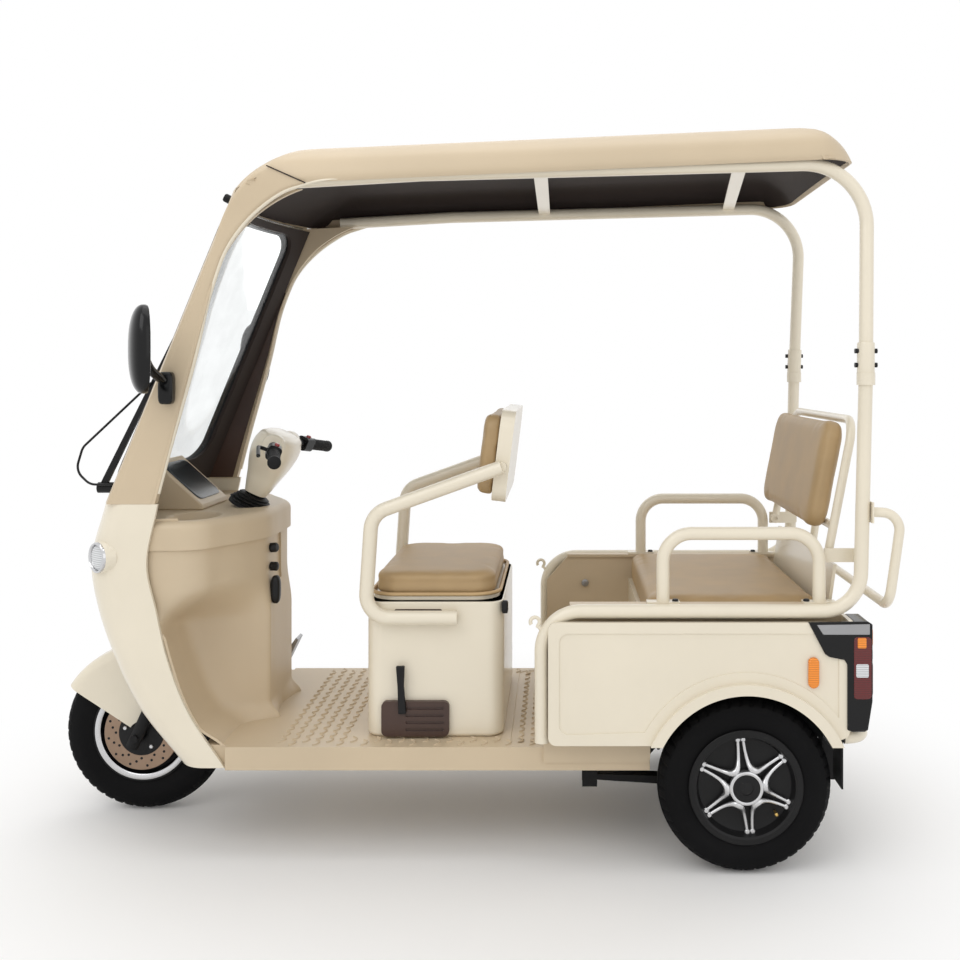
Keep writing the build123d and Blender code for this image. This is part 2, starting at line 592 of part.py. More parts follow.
with BuildPart() as dash_body:
    for inset, low, high, mode in DASH_LAYERS:
        half = DASH_HALF_WIDTH - inset
        front_x = DASH_FRONT_X - inset
        with BuildSketch(Plane.XY.offset(low)):
            with BuildLine():
                ThreePointArc((front_x, half), (front_x + BULGE - 11, 0), (front_x, -half))
                Polyline(
                    (front_x, -half),
                    (DASH_SIDE_X + inset, -half),
                    (DASH_SIDE_X + inset - 8, -0.72 * half),
                    (DASH_TAIL_X + inset, -0.36 * half),
                    (DASH_TAIL_X + inset, 0.36 * half),
                    (DASH_SIDE_X + inset - 8, 0.72 * half),
                    (DASH_SIDE_X + inset, half),
                    (front_x, half),
                )
            make_face()
        extrude(amount=high - low, mode=mode)
    with BuildSketch(Plane.XY.offset(BOLSTER_BOTTOM)):
        with BuildLine():
            ThreePointArc(
                (DASH_FRONT_X + 40, DASH_HALF_WIDTH),
                (DASH_FRONT_X + BULGE + 40, 0),
                (DASH_FRONT_X + 40, -DASH_HALF_WIDTH),
            )
            Polyline(
                (DASH_FRONT_X + 40, -DASH_HALF_WIDTH),
                (KNEE_LINE[3][0] + KNEE_SKIN, -DASH_HALF_WIDTH),
                (KNEE_LINE[3][0] + KNEE_SKIN, DASH_HALF_WIDTH),
                (DASH_FRONT_X + 40, DASH_HALF_WIDTH),
            )
        make_face()
    extrude(amount=SHELF_BOTTOM - BOLSTER_BOTTOM, mode=Mode.SUBTRACT)
    for wall_y, cheek_y in ((DASH_HALF_WIDTH, COLUMN_HALF_WIDTH), (-COLUMN_ROOM, -COLUMN_ROOM)):
        with BuildSketch(at_y(wall_y)):
            with BuildLine():
                Polyline(*KNEE_LINE, *reversed(knee_front), close=True)
            make_face()
        extrude(amount=DASH_HALF_WIDTH - COLUMN_ROOM)
        with BuildSketch(at_y(cheek_y)):
            with BuildLine():
                Polyline(
                    (COLUMN_REAR_X, FLOOR_TOP),
                    *knee_front,
                    (COLUMN_REAR_X + 10, DASH_TOP - KNEE_OVERLAP),
                    (COLUMN_REAR_X, SHELF_BOTTOM),
                    close=True,
                )
            make_face()
        extrude(amount=COLUMN_SKIN)
    with Locations((COLUMN_REAR_X + COLUMN_SKIN / 2, 0, (FLOOR_TOP + DASH_TOP - DASH_SKIN) / 2)):
        Box(COLUMN_SKIN, 2 * COLUMN_HALF_WIDTH, DASH_TOP - DASH_SKIN - FLOOR_TOP)
    with BuildSketch(Plane.XY.offset(FLOOR_TOP)):
        with BuildLine():
            Polyline(
                (COLUMN_REAR_X + COLUMN_SKIN, COLUMN_ROOM),
                (FRONT_AXLE_X, COLUMN_ROOM),
                (FRONT_AXLE_X, -COLUMN_ROOM),
                (COLUMN_REAR_X + COLUMN_SKIN, -COLUMN_ROOM),
                close=True,
            )
        make_face()
    extrude(amount=DASH_TOP - DASH_SKIN - FLOOR_TOP, mode=Mode.SUBTRACT)
    with BuildSketch(STEER.offset(HEAD_TUBE_S + HEAD_TUBE_LENGTH)):
        Circle(STEERER_R + 26)
    extrude(amount=DASH_S, mode=Mode.SUBTRACT)
    with BuildSketch(Plane.XY.offset(DASH_TOP - DASH_SKIN / 2)):
        with Locations((680, 0.65 * DASH_HALF_WIDTH), (680, -0.65 * DASH_HALF_WIDTH)):
            Ellipse(68, 92)
    extrude(amount=DASH_SKIN / 2, mode=Mode.SUBTRACT)
dash_body.part.label = "dash_body"
pieces.append(dash_body.part)

# The bellows is turned about the steering axis and cut level with the dash top
BOOT_BORE_R = STEERER_R + 8
BOOT_RINGS = (  # radius, height over the dash along the axis
    (58, -36),
    (58, 4),
    (50, 8),
    (54, 12),
    (44, 17),
    (48, 21),
    (34, 29),
)
with BuildPart() as steering_boot:
    with BuildSketch(Plane(origin=STEER.origin, x_dir=STEER.x_dir, z_dir=(0, -1, 0))):
        with BuildLine():
            Polyline(
                (BOOT_BORE_R, DASH_S - 36),
                *[(ring_r, DASH_S + height) for ring_r, height in BOOT_RINGS],
                (BOOT_BORE_R, DASH_S + 29),
                close=True,
            )
        make_face()
    revolve(axis=Axis(STEER.origin, STEER.z_dir))
    with Locations((DASH_SIDE_X, 0, DASH_TOP - DASH_DEPTH)):
        Box(2 * DASH_HALF_WIDTH, 2 * DASH_HALF_WIDTH, 2 * DASH_DEPTH, mode=Mode.SUBTRACT)
steering_boot.part.label = "steering_boot"
pieces.append(steering_boot.part)

POD_HALF_WIDTH = 112
with BuildPart() as instrument_pod:
    with BuildSketch(at_y(POD_HALF_WIDTH)):
        with BuildLine():
            FilletPolyline(
                (690, DASH_TOP),
                (694, DASH_TOP + 15),
                (822, DASH_TOP + 131),
                (846, DASH_TOP + 125),
                (852, DASH_TOP),
                radius=5,
                close=True,
            )
        make_face()
    extrude(amount=2 * POD_HALF_WIDTH)
instrument_pod.part.label = "instrument_pod"
pieces.append(instrument_pod.part)

# Two knobs and an upright rocker on the back of the column
KNOB_Y = 90
KNOB_DEPTH = 14
with BuildPart() as dash_controls:
    with BuildSketch(Plane.YZ.offset(COLUMN_REAR_X - SEAT_GAP - KNOB_DEPTH)):
        with Locations((KNOB_Y, BOLSTER_BOTTOM + 102)):
            Circle(13)
        with Locations((KNOB_Y, BOLSTER_BOTTOM + 51)):
            Circle(12)
        with Locations((KNOB_Y, BOLSTER_BOTTOM - 11)):
            RectangleRounded(30, 76, 14)
    extrude(amount=KNOB_DEPTH)
dash_controls.part.label = "dash_controls"
pieces.append(dash_controls.part)

# Windscreen layers are slices of one cylinder pushed up along the leaning pillar
SCREEN_R = (COWL_HALF_WIDTH**2 + BULGE**2) / (2 * BULGE)
SCREEN_CENTRE_X = COWL_EDGE_X + BULGE - SCREEN_R

# Roof: three nested domes give the shell and its lining
ROOF_RISE = tan(radians(ROOF_SLOPE))
ROOF_BEVEL = 5
ROOF_LENGTH = 1800
ROOF_SHOULDER = ROOF_HALF_WIDTH - 64
ROOF_LOW = ROOF_LIP_Z - 110
ROOF_FRONT = (  # height, x of the nose: the roof runs down into the windscreen
    (ROOF_LOW, 641),
    (1640, 617),
    (1662, 606),
    (1697, 569),
    (1751, 467),
    (1810, 325),
    (1900, 100),
)
roof_section = Plane(
    origin=(ROOF_REAR_X - 30, 0, ROOF_LIP_Z + ROOF_RISE * (ROOF_MID_X - ROOF_REAR_X + 30)),
    x_dir=(0, 1, 0),
    z_dir=(cos(radians(ROOF_SLOPE)), 0, -sin(radians(ROOF_SLOPE))),
)
roof_domes = []
for inset in (0, ROOF_SKIN, ROOF_SKIN + LINING_SKIN):
    half = ROOF_HALF_WIDTH - inset
    shoulder = ROOF_SHOULDER - inset
    bevel = ROOF_BEVEL if inset == 0 else 0
    tail_x = ROOF_REAR_X + inset
    with BuildPart() as dome:
        with BuildSketch(roof_section):
            with BuildLine():
                Polyline(
                    (-shoulder, 92 - inset),
                    (-half + 8, 52 - inset),
                    (-half, 14 - inset),
                    (-half + bevel, -inset),
                    (half - bevel, -inset),
                    (half, 14 - inset),
                    (half - 8, 52 - inset),
                    (shoulder, 92 - inset),
                )
                ThreePointArc((shoulder, 92 - inset), (0, 124 - inset), (-shoulder, 92 - inset))
            make_face()
        extrude(amount=ROOF_LENGTH)
        with BuildSketch(Plane.XY.offset(ROOF_LOW)):
            with Locations((tail_x + ROOF_LENGTH / 2, 0)):
                RectangleRounded(ROOF_LENGTH, 2 * half, 90 - inset)
        extrude(amount=ROOF_LENGTH, mode=Mode.INTERSECT)
        with BuildSketch(at_y(ROOF_HALF_WIDTH)):
            with BuildLine():
                ThreePointArc(
                    (tail_x - 6, ROOF_LIP_Z - inset),
                    (tail_x + 46, ROOF_LIP_Z + 92 - inset),
                    (tail_x + 230, ROOF_LIP_Z + 163 - inset),
                )
                Polyline(
                    (tail_x + 230, ROOF_LIP_Z + 163 - inset),
                    (tail_x + ROOF_LENGTH, ROOF_LIP_Z + 163 - inset),
                    (tail_x + ROOF_LENGTH, ROOF_LOW),
                    (tail_x - 6, ROOF_LOW),
                    (tail_x - 6, ROOF_LIP_Z - inset),
                )
            make_face()
        extrude(amount=2 * ROOF_HALF_WIDTH, mode=Mode.INTERSECT)
    with BuildPart() as roof_nose:
        for height, nose_x in ROOF_FRONT:
            front_x = nose_x - inset
            side_x = front_x - SCREEN_R + sqrt(SCREEN_R**2 - ROOF_HALF_WIDTH**2)
            with BuildSketch(Plane.XY.offset(height - inset)):
                with BuildLine():
                    ThreePointArc((side_x, ROOF_HALF_WIDTH), (front_x, 0), (side_x, -ROOF_HALF_WIDTH))
                    Polyline(
                        (side_x, -ROOF_HALF_WIDTH),
                        (ROOF_REAR_X - 40, -ROOF_HALF_WIDTH),
                        (ROOF_REAR_X - 40, ROOF_HALF_WIDTH),
                        (side_x, ROOF_HALF_WIDTH),
                    )
                make_face()
        loft(ruled=True)
        add(dome.part, mode=Mode.INTERSECT)
    roof_domes.append(roof_nose.part)
for name, outer, inner in (("roof_shell", 0, 1), ("roof_lining", 1, 2)):
    with BuildPart() as roof_layer:
        add(roof_domes[outer])
        add(roof_domes[inner], mode=Mode.SUBTRACT)
    roof_layer.part.label = name
    pieces.append(roof_layer.part)

SCREEN_FRAME = 22
GLASS = 5
SCREEN_LINING = 9
GLASS_R = SCREEN_R - SCREEN_FRAME - SEAT_GAP
OPENING_LOW = COWL_TOP + 65
OPENING_HIGH = SCREEN_TOP - 40
SCREEN_LAYERS = (  # name, outer radius, thickness, half width, low z, high z, half width of the opening
    ("windscreen_frame", SCREEN_R, SCREEN_FRAME, COWL_HALF_WIDTH, COWL_TOP, SCREEN_TOP, COWL_HALF_WIDTH - 60),
    ("windscreen_glass", GLASS_R, GLASS, COWL_HALF_WIDTH - 38, COWL_TOP + 30, SCREEN_TOP - 14, 0),
    (
        "windscreen_lining",
        GLASS_R - GLASS - SEAT_GAP,
        SCREEN_LINING,
        COWL_HALF_WIDTH - 20,
        COWL_TOP,
        SCREEN_TOP - 22,
        COWL_HALF_WIDTH - 70,
    ),
)
screen_layers = {}
for name, outer_r, thick, half, low, high, opening_half in SCREEN_LAYERS:
    inner_r = outer_r - thick
    foot_x = SCREEN_CENTRE_X - SCREEN_LEAN * (low - COWL_TOP)
    outer_x = foot_x + sqrt(outer_r**2 - half**2)
    inner_x = foot_x + sqrt(inner_r**2 - half**2)
    with BuildPart() as layer:
        with BuildSketch(Plane.XY.offset(low)):
            with BuildLine():
                ThreePointArc((outer_x, half), (foot_x + outer_r, 0), (outer_x, -half))
                Line((outer_x, -half), (inner_x, -half))
                ThreePointArc((inner_x, -half), (foot_x + inner_r, 0), (inner_x, half))
                Line((inner_x, half), (outer_x, half))
            make_face()
        extrude(amount=(high - low) * hypot(1, SCREEN_LEAN), dir=(-SCREEN_LEAN, 0, 1))
        if opening_half > 0:
            with BuildSketch(Plane.YZ.offset(SEAT_FRONT_X)):
                with Locations((0, (OPENING_LOW + OPENING_HIGH) / 2)):
                    RectangleRounded(2 * opening_half, OPENING_HIGH - OPENING_LOW, 60)
            extrude(amount=FRONT_AXLE_X, mode=Mode.SUBTRACT)
        for dome_part in roof_domes[:2]:
            add(dome_part, mode=Mode.SUBTRACT)
    screen_layers[name] = layer.part
    if opening_half != COWL_HALF_WIDTH - 60:
        layer.part.label = name
        pieces.append(layer.part)

# The pillar flange widens the bent frame and curves over into the edge of the roof
PILLAR_SKIN = 12
PILLAR_TOP = ROOF_LIP_Z - 30
PILLAR_FRONT_X = COWL_EDGE_X - 10
PILLAR_REAR_X = COWL_EDGE_X - 118
PILLAR_BEND = (  # rear edge from the straight pillar to the roof: x, z
    (COWL_EDGE_X - 261, ROOF_LIP_Z - 268),
    (COWL_EDGE_X - 343, ROOF_LIP_Z - 124),
    (COWL_EDGE_X - 501, PILLAR_TOP),
)
PILLAR_RISE = PILLAR_TOP - COWL_TOP
with BuildPart() as windscreen_frame:
    add(screen_layers["windscreen_frame"])
    for flange_y in (COWL_HALF_WIDTH, -COWL_HALF_WIDTH + PILLAR_SKIN):
        with BuildSketch(at_y(flange_y)):
            with BuildLine():
                Polyline((PILLAR_FRONT_X, COWL_TOP), (PILLAR_REAR_X, COWL_TOP), PILLAR_BEND[0])
                ThreePointArc(*PILLAR_BEND)
                Polyline(
                    PILLAR_BEND[2],
                    (PILLAR_FRONT_X - SCREEN_LEAN * PILLAR_RISE, PILLAR_TOP),
                    (PILLAR_FRONT_X, COWL_TOP),
                )
            make_face()
        extrude(amount=PILLAR_SKIN)
    for dome_part in roof_domes[:2]:
        add(dome_part, mode=Mode.SUBTRACT)
windscreen_frame.part.label = "windscreen_frame"
pieces.append(windscreen_frame.part)

# Two roof tubes from the rear posts to the pillar flanges, with a straight and a skewed welded strap
TUBE_LIFT = 12
ROOF_CORNER_X = -1016
ROOF_CORNER_Z = 1717
TUBE_KNEE_X = 73
TUBE_KNEE_Z = ROOF_LIP_Z + ROOF_RISE * (ROOF_MID_X - TUBE_KNEE_X) + TUBE_LIFT
TUBE_FRONT_X = PILLAR_BEND[2][0] + 70
TUBE_FRONT_Z = PILLAR_TOP + 7
TUBE_FALL = (ROOF_CORNER_Z - TUBE_KNEE_Z) / (TUBE_KNEE_X - ROOF_CORNER_X)
TUBE_BEND = 150
STRAPS = (  # x at the left tube, x at the right tube
    (-218, -218),
    (-707, -791),
)
STRAP_WIDTH = 35
STRAP_THICK = 5
with BuildPart() as roof_tubes:
    with BuildLine() as roof_path:
        FilletPolyline(
            (POST_JOINT_X, RIM_Y, POST_JOINT_Z + 1.5),
            (ROOF_CORNER_X, ROOF_TUBE_Y, ROOF_CORNER_Z),
            (TUBE_KNEE_X, ROOF_TUBE_Y, TUBE_KNEE_Z),
            (TUBE_FRONT_X, ROOF_TUBE_Y, TUBE_FRONT_Z),
            radius=TUBE_BEND,
        )
    with BuildSketch(Plane(origin=roof_path.line @ 0, z_dir=roof_path.line % 0)):
        Circle(ROOF_TUBE_R)
    sweep()
    mirror(about=Plane.XZ)
    for left_x, right_x in STRAPS:
        strap_x = (left_x + right_x) / 2
        strap_z = ROOF_CORNER_Z - TUBE_FALL * (strap_x - ROOF_CORNER_X)
        with BuildSketch(Plane.XY.offset(strap_z)):
            with BuildLine():
                Polyline(
                    (left_x - STRAP_WIDTH / 2, ROOF_TUBE_Y),
                    (left_x + STRAP_WIDTH / 2, ROOF_TUBE_Y),
                    (right_x + STRAP_WIDTH / 2, -ROOF_TUBE_Y),
                    (right_x - STRAP_WIDTH / 2, -ROOF_TUBE_Y),
                    close=True,
                )
            make_face()
        extrude(amount=STRAP_THICK)
roof_tubes.part.label = "roof_tubes"
pieces.append(roof_tubes.part)

# Wiper on a stud in the frame, with its blade along the glass, and the washer hose beside it
WIPER_Y = 200
WIPER_STUD_Z = COWL_TOP + 25
BLADE_LOW = COWL_TOP + 187
BLADE_HIGH = BLADE_LOW + 442
BLADE_GAP = 5
BLADE_DEPTH = 14
BLADE_WIDTH = 12


def screen_x(radius, y, z):
    """Front of the windscreen layer with this radius, at (y, z)."""
    return SCREEN_CENTRE_X - SCREEN_LEAN * (z - COWL_TOP) + sqrt(radius**2 - y**2)


BLADE_MID = (BLADE_LOW + BLADE_HIGH) / 2
arm_foot_x = screen_x(SCREEN_R, WIPER_Y, WIPER_STUD_Z) + 24
arm_head_x = screen_x(GLASS_R, WIPER_Y, BLADE_MID) + BLADE_GAP + BLADE_DEPTH - 2
with BuildPart() as wiper:
    with BuildSketch(Plane.YZ.offset(arm_foot_x - 32)):
        with Locations((WIPER_Y, WIPER_STUD_Z)):
            Circle(14)
    extrude(amount=48)
    with BuildSketch(at_y(WIPER_Y + BLADE_WIDTH / 2 - 1)):
        with BuildLine():
            Polyline(
                (arm_foot_x, WIPER_STUD_Z - 8),
                (arm_head_x, BLADE_MID),
                (arm_head_x + 9, BLADE_MID + 4),
                (arm_foot_x + 14, WIPER_STUD_Z + 2),
                close=True,
            )
        make_face()
    extrude(amount=BLADE_WIDTH - 2)
    with BuildSketch(at_y(WIPER_Y + BLADE_WIDTH / 2)):
        with BuildLine():
            Polyline(
                (screen_x(GLASS_R, WIPER_Y, BLADE_LOW) + BLADE_GAP, BLADE_LOW),
                (screen_x(GLASS_R, WIPER_Y, BLADE_HIGH) + BLADE_GAP, BLADE_HIGH),
                (screen_x(GLASS_R, WIPER_Y, BLADE_HIGH) + BLADE_GAP + 6, BLADE_HIGH),
                (screen_x(GLASS_R, WIPER_Y, BLADE_MID) + BLADE_GAP + BLADE_DEPTH, BLADE_MID),
                (screen_x(GLASS_R, WIPER_Y, BLADE_LOW) + BLADE_GAP + 6, BLADE_LOW),
                close=True,
            )
        make_face()
    extrude(amount=BLADE_WIDTH)
    add(windscreen_frame.part, mode=Mode.SUBTRACT)
wiper.part.label = "wiper"
pieces.append(wiper.part)

HOSE_R = 3
HOSE_Y = WIPER_Y + BLADE_WIDTH / 2 - 1 + HOSE_R + SEAT_GAP
HOSE_TOP_Z = COWL_TOP + 300
HOSE_END_Z = COWL_TOP + 35
HOSE_SHARE = (HOSE_TOP_Z - WIPER_STUD_Z) / (BLADE_MID - WIPER_STUD_Z)
HOSE_BENDS = (38, 38, 38)
with BuildPart() as washer_hose:
    with BuildLine() as hose_path:
        FilletPolyline(
            (arm_foot_x + 7 + HOSE_SHARE * (arm_head_x - arm_foot_x), HOSE_Y, HOSE_TOP_Z),
            (FRONT_AXLE_X + 92, HOSE_Y + 6, HOSE_END_Z + 95),
            (FRONT_AXLE_X + 108, HOSE_Y + 10, HOSE_END_Z + 35),
            (FRONT_AXLE_X + 70, HOSE_Y + 14, HOSE_END_Z),
            (screen_x(SCREEN_R, HOSE_Y + 14, HOSE_END_Z) + 4, HOSE_Y + 14, HOSE_END_Z),
            radius=HOSE_BENDS,
        )
    with BuildSketch(Plane(origin=hose_path.line @ 0, z_dir=hose_path.line % 0)):
        Circle(HOSE_R)
    sweep()
washer_hose.part.label = "washer_hose"
pieces.append(washer_hose.part)
print("washer hose bends", HOSE_BENDS)

# Driver's seat on its box, which holds the battery
seat_mid_x = (SEAT_FRONT_X + SEAT_REAR_X) / 2
seat_length = SEAT_FRONT_X - SEAT_REAR_X
SEAT_BOX_CORNER = 40
with BuildPart() as seat_box:
    with BuildSketch(Plane.XY.offset(FLOOR_TOP)):
        with Locations((seat_mid_x, 0)):
            RectangleRounded(seat_length, 2 * SEAT_BOX_HALF_WIDTH, SEAT_BOX_CORNER)
    extrude(amount=SEAT_BOX_TOP - FLOOR_TOP)
    chamfer(seat_box.edges().group_by(Axis.Z)[0], 7)
    with BuildSketch(Plane.XY.offset(FLOOR_TOP + SEAT_BOX_SKIN)):
        with Locations((seat_mid_x, 0)):
            RectangleRounded(
                seat_length - 2 * SEAT_BOX_SKIN,
                2 * (SEAT_BOX_HALF_WIDTH - SEAT_BOX_SKIN),
                SEAT_BOX_CORNER - SEAT_BOX_SKIN,
            )
    extrude(amount=SEAT_BOX_TOP - FLOOR_TOP, mode=Mode.SUBTRACT)
seat_box.part.label = "seat_box"
pieces.append(seat_box.part)

BATTERY_HEIGHT = 200
with BuildPart() as battery_block:
    with Locations((seat_mid_x, 0, FLOOR_TOP + SEAT_BOX_SKIN + BATTERY_HEIGHT / 2)):
        Box(seat_length - 66, 2 * SEAT_BOX_HALF_WIDTH - 120, BATTERY_HEIGHT)
battery_block.part.label = "battery_block"
pieces.append(battery_block.part)

SEAT_PAN_REAR_X = SEAT_REAR_X + 13
SEAT_PAN_FRONT_X = SEAT_FRONT_X - 6
SEAT_CORNER = 70
pan_mid_x = (SEAT_PAN_FRONT_X + SEAT_PAN_REAR_X) / 2
pan_length = SEAT_PAN_FRONT_X - SEAT_PAN_REAR_X
PAN_BOTTOM = SEAT_BOX_TOP + SEAT_GAP
with BuildPart() as seat_pan:
    with BuildSketch(Plane.XY.offset(PAN_BOTTOM)):
        with Locations((pan_mid_x, 0)):
            RectangleRounded(pan_length, 2 * CUSHION_HALF_WIDTH, SEAT_CORNER)
    extrude(amount=SEAT_PAN_THICK)
seat_pan.part.label = "seat_pan"
pieces.append(seat_pan.part)

with BuildPart() as seat_cushion:
    with BuildSketch(Plane.XY.offset(PAN_BOTTOM + SEAT_PAN_THICK)):
        with Locations((pan_mid_x, 0)):
            RectangleRounded(pan_length - 4, 2 * CUSHION_HALF_WIDTH - 4, SEAT_CORNER - 2)
    extrude(amount=CUSHION_TOP - PAN_BOTTOM - SEAT_PAN_THICK)
    fillet(seat_cushion.faces().sort_by(Axis.Z)[-1].edges(), 18)
seat_cushion.part.label = "seat_cushion"
pieces.append(seat_cushion.part)

ARM_LOW_Z = SEAT_BOX_TOP - 36
ARM_BACK_X = SEAT_REAR_X + 3
ARM_BACK_Z = 967
ARM_CROSS_R = 12
with BuildPart() as armrest_frame:
    with BuildLine() as arm_path:
        FilletPolyline(
            (SEAT_REAR_X + 114, ARM_Y, ARM_LOW_Z),
            (SEAT_FRONT_X - 1, ARM_Y, ARM_LOW_Z),
            (SEAT_FRONT_X - 18, ARM_Y, ARM_LOW_Z + 260),
            (ARM_BACK_X, ARM_Y, ARM_BACK_Z),
            radius=58,
        )
    with BuildSketch(Plane(origin=arm_path.line @ 0, z_dir=arm_path.line % 0)):
        Circle(ARM_R)
    sweep()
    for boss_x in (SEAT_REAR_X + 143, SEAT_REAR_X + 243):
        with BuildSketch(at_y(ARM_Y)):
            with Locations((boss_x, ARM_LOW_Z)):
                Circle(11)
        extrude(amount=ARM_Y - SEAT_BOX_HALF_WIDTH)
    mirror(about=Plane.XZ)
    with BuildSketch(at_y(ARM_Y)):
        with Locations((ARM_BACK_X, ARM_BACK_Z)):
            Circle(ARM_CROSS_R)
    extrude(amount=2 * ARM_Y)
armrest_frame.part.label = "armrest_frame"
pieces.append(armrest_frame.part)

# Driver's backrest: a hard shell on the armrest cross bar, with a pad on its front
DRIVER_BACK_LEAN = 7
DRIVER_BACK = Plane(
    origin=(ARM_BACK_X, 0, ARM_BACK_Z),
    x_dir=(0, 1, 0),
    z_dir=(cos(radians(DRIVER_BACK_LEAN)), 0, sin(radians(DRIVER_BACK_LEAN))),
)
DRIVER_BACK_HALF = SEAT_BOX_HALF_WIDTH - 6
DRIVER_BACK_HEIGHT = 236
DRIVER_BACK_RISE = 24
SHELL_HALF_THICK = 18
with BuildPart() as back_shell:
    with BuildSketch(DRIVER_BACK.offset(-SHELL_HALF_THICK)):
        with Locations((0, DRIVER_BACK_RISE)):
            RectangleRounded(2 * DRIVER_BACK_HALF, DRIVER_BACK_HEIGHT, 50)
    extrude(amount=2 * SHELL_HALF_THICK)
    with BuildSketch(at_y(ARM_Y)):
        with Locations((ARM_BACK_X, ARM_BACK_Z)):
            Circle(ARM_CROSS_R + RUNNING)
    extrude(amount=2 * ARM_Y, mode=Mode.SUBTRACT)
back_shell.part.label = "driver_back_shell"
pieces.append(back_shell.part)

with BuildPart() as back_pad:
    with BuildSketch(DRIVER_BACK.offset(SHELL_HALF_THICK + SEAT_GAP)):
        with Locations((0, DRIVER_BACK_RISE)):
            RectangleRounded(2 * DRIVER_BACK_HALF - 24, DRIVER_BACK_HEIGHT - 20, 46)
    extrude(amount=40)
    fillet(back_pad.faces().sort_by(Axis.X)[-1].edges(), 16)
back_pad.part.label = "driver_back_pad"
pieces.append(back_pad.part)

# Parking brake on the left of the seat box: a louvred housing with the lever in front of it
LEVER_X = SEAT_FRONT_X - 92
HOUSING_X = SEAT_FRONT_X - 126
HOUSING_LOW = FLOOR_TOP + 6
HOUSING_THICK = 14
LOUVRE_COUNT = 4
with BuildPart() as lever_housing:
    with BuildSketch(at_y(SEAT_BOX_HALF_WIDTH + HOUSING_THICK)):
        with Locations((HOUSING_X, HOUSING_LOW + 44)):
            RectangleRounded(170, 88, 14)
    extrude(amount=HOUSING_THICK)
    with BuildSketch(at_y(SEAT_BOX_HALF_WIDTH + HOUSING_THICK)):
        for louvre in range(LOUVRE_COUNT):
            with Locations((HOUSING_X - 24, HOUSING_LOW + 17 + 18 * louvre)):
                SlotOverall(96, 7)
    extrude(amount=4, mode=Mode.SUBTRACT)
lever_housing.part.label = "lever_housing"
pieces.append(lever_housing.part)

with BuildPart() as parking_lever:
    with BuildSketch(at_y(SEAT_BOX_HALF_WIDTH + HOUSING_THICK + 12)):
        with BuildLine():
            Polyline(
                (LEVER_X - 13, FLOOR_TOP + 65),
                (LEVER_X + 7, FLOOR_TOP + 65),
                (LEVER_X + 9, FLOOR_TOP + 135),
                (LEVER_X + 13, FLOOR_TOP + 185),
                (LEVER_X - 9, FLOOR_TOP + 185),
                (LEVER_X - 7, FLOOR_TOP + 135),
                close=True,
            )
        make_face()
    extrude(amount=12)
parking_lever.part.label = "parking_lever"
pieces.append(parking_lever.part)

# Passenger box
rear_axle_line = (REAR_AXLE_X, REAR_TYRE_R)
BRACKET_Y = BACK_BAR_Y + BACK_BAR_R + 8
BRACKET_FRONT_X = BACK_PIVOT_X + 14
BRACKET_REAR_X = POST_BOTTOM_X - 3
with BuildPart() as box_rims:
    with BuildLine() as rim_path:
        FilletPolyline(
            (RIM_FRONT_X, RIM_Y, BOX_BOTTOM),
            (RIM_FRONT_X, RIM_Y, RIM_Z),
            (POST_BOTTOM_X, RIM_Y, RIM_Z),
            (POST_JOINT_X, RIM_Y, POST_JOINT_Z),
            radius=95,
        )
    with BuildSketch(Plane(origin=rim_path.line @ 0, z_dir=rim_path.line % 0)):
        Circle(RIM_R)
    sweep()
    with BuildSketch(Plane.XY.offset(POST_JOINT_Z - 30)):
        with Locations((POST_JOINT_X, RIM_Y)):
            Circle(RIM_R + 5)
    extrude(amount=30)
    with Locations(((BRACKET_REAR_X + BRACKET_FRONT_X) / 2, BRACKET_Y, BACK_PIVOT_Z)):
        Box(BRACKET_FRONT_X - BRACKET_REAR_X, 6, 34)
    with Locations((BRACKET_REAR_X, (RIM_Y + BRACKET_Y - 3) / 2, BACK_PIVOT_Z)):
        Box(14, RIM_Y - BRACKET_Y + 3, 30)
    with BuildSketch(at_y(BRACKET_Y)):
        with Locations((BACK_PIVOT_X, BACK_PIVOT_Z)):
            Circle(BACK_PIN_R)
    extrude(amount=BACK_BAR_R + 14)
    mirror(about=Plane.XZ)
box_rims.part.label = "box_rims"
pieces.append(box_rims.part)

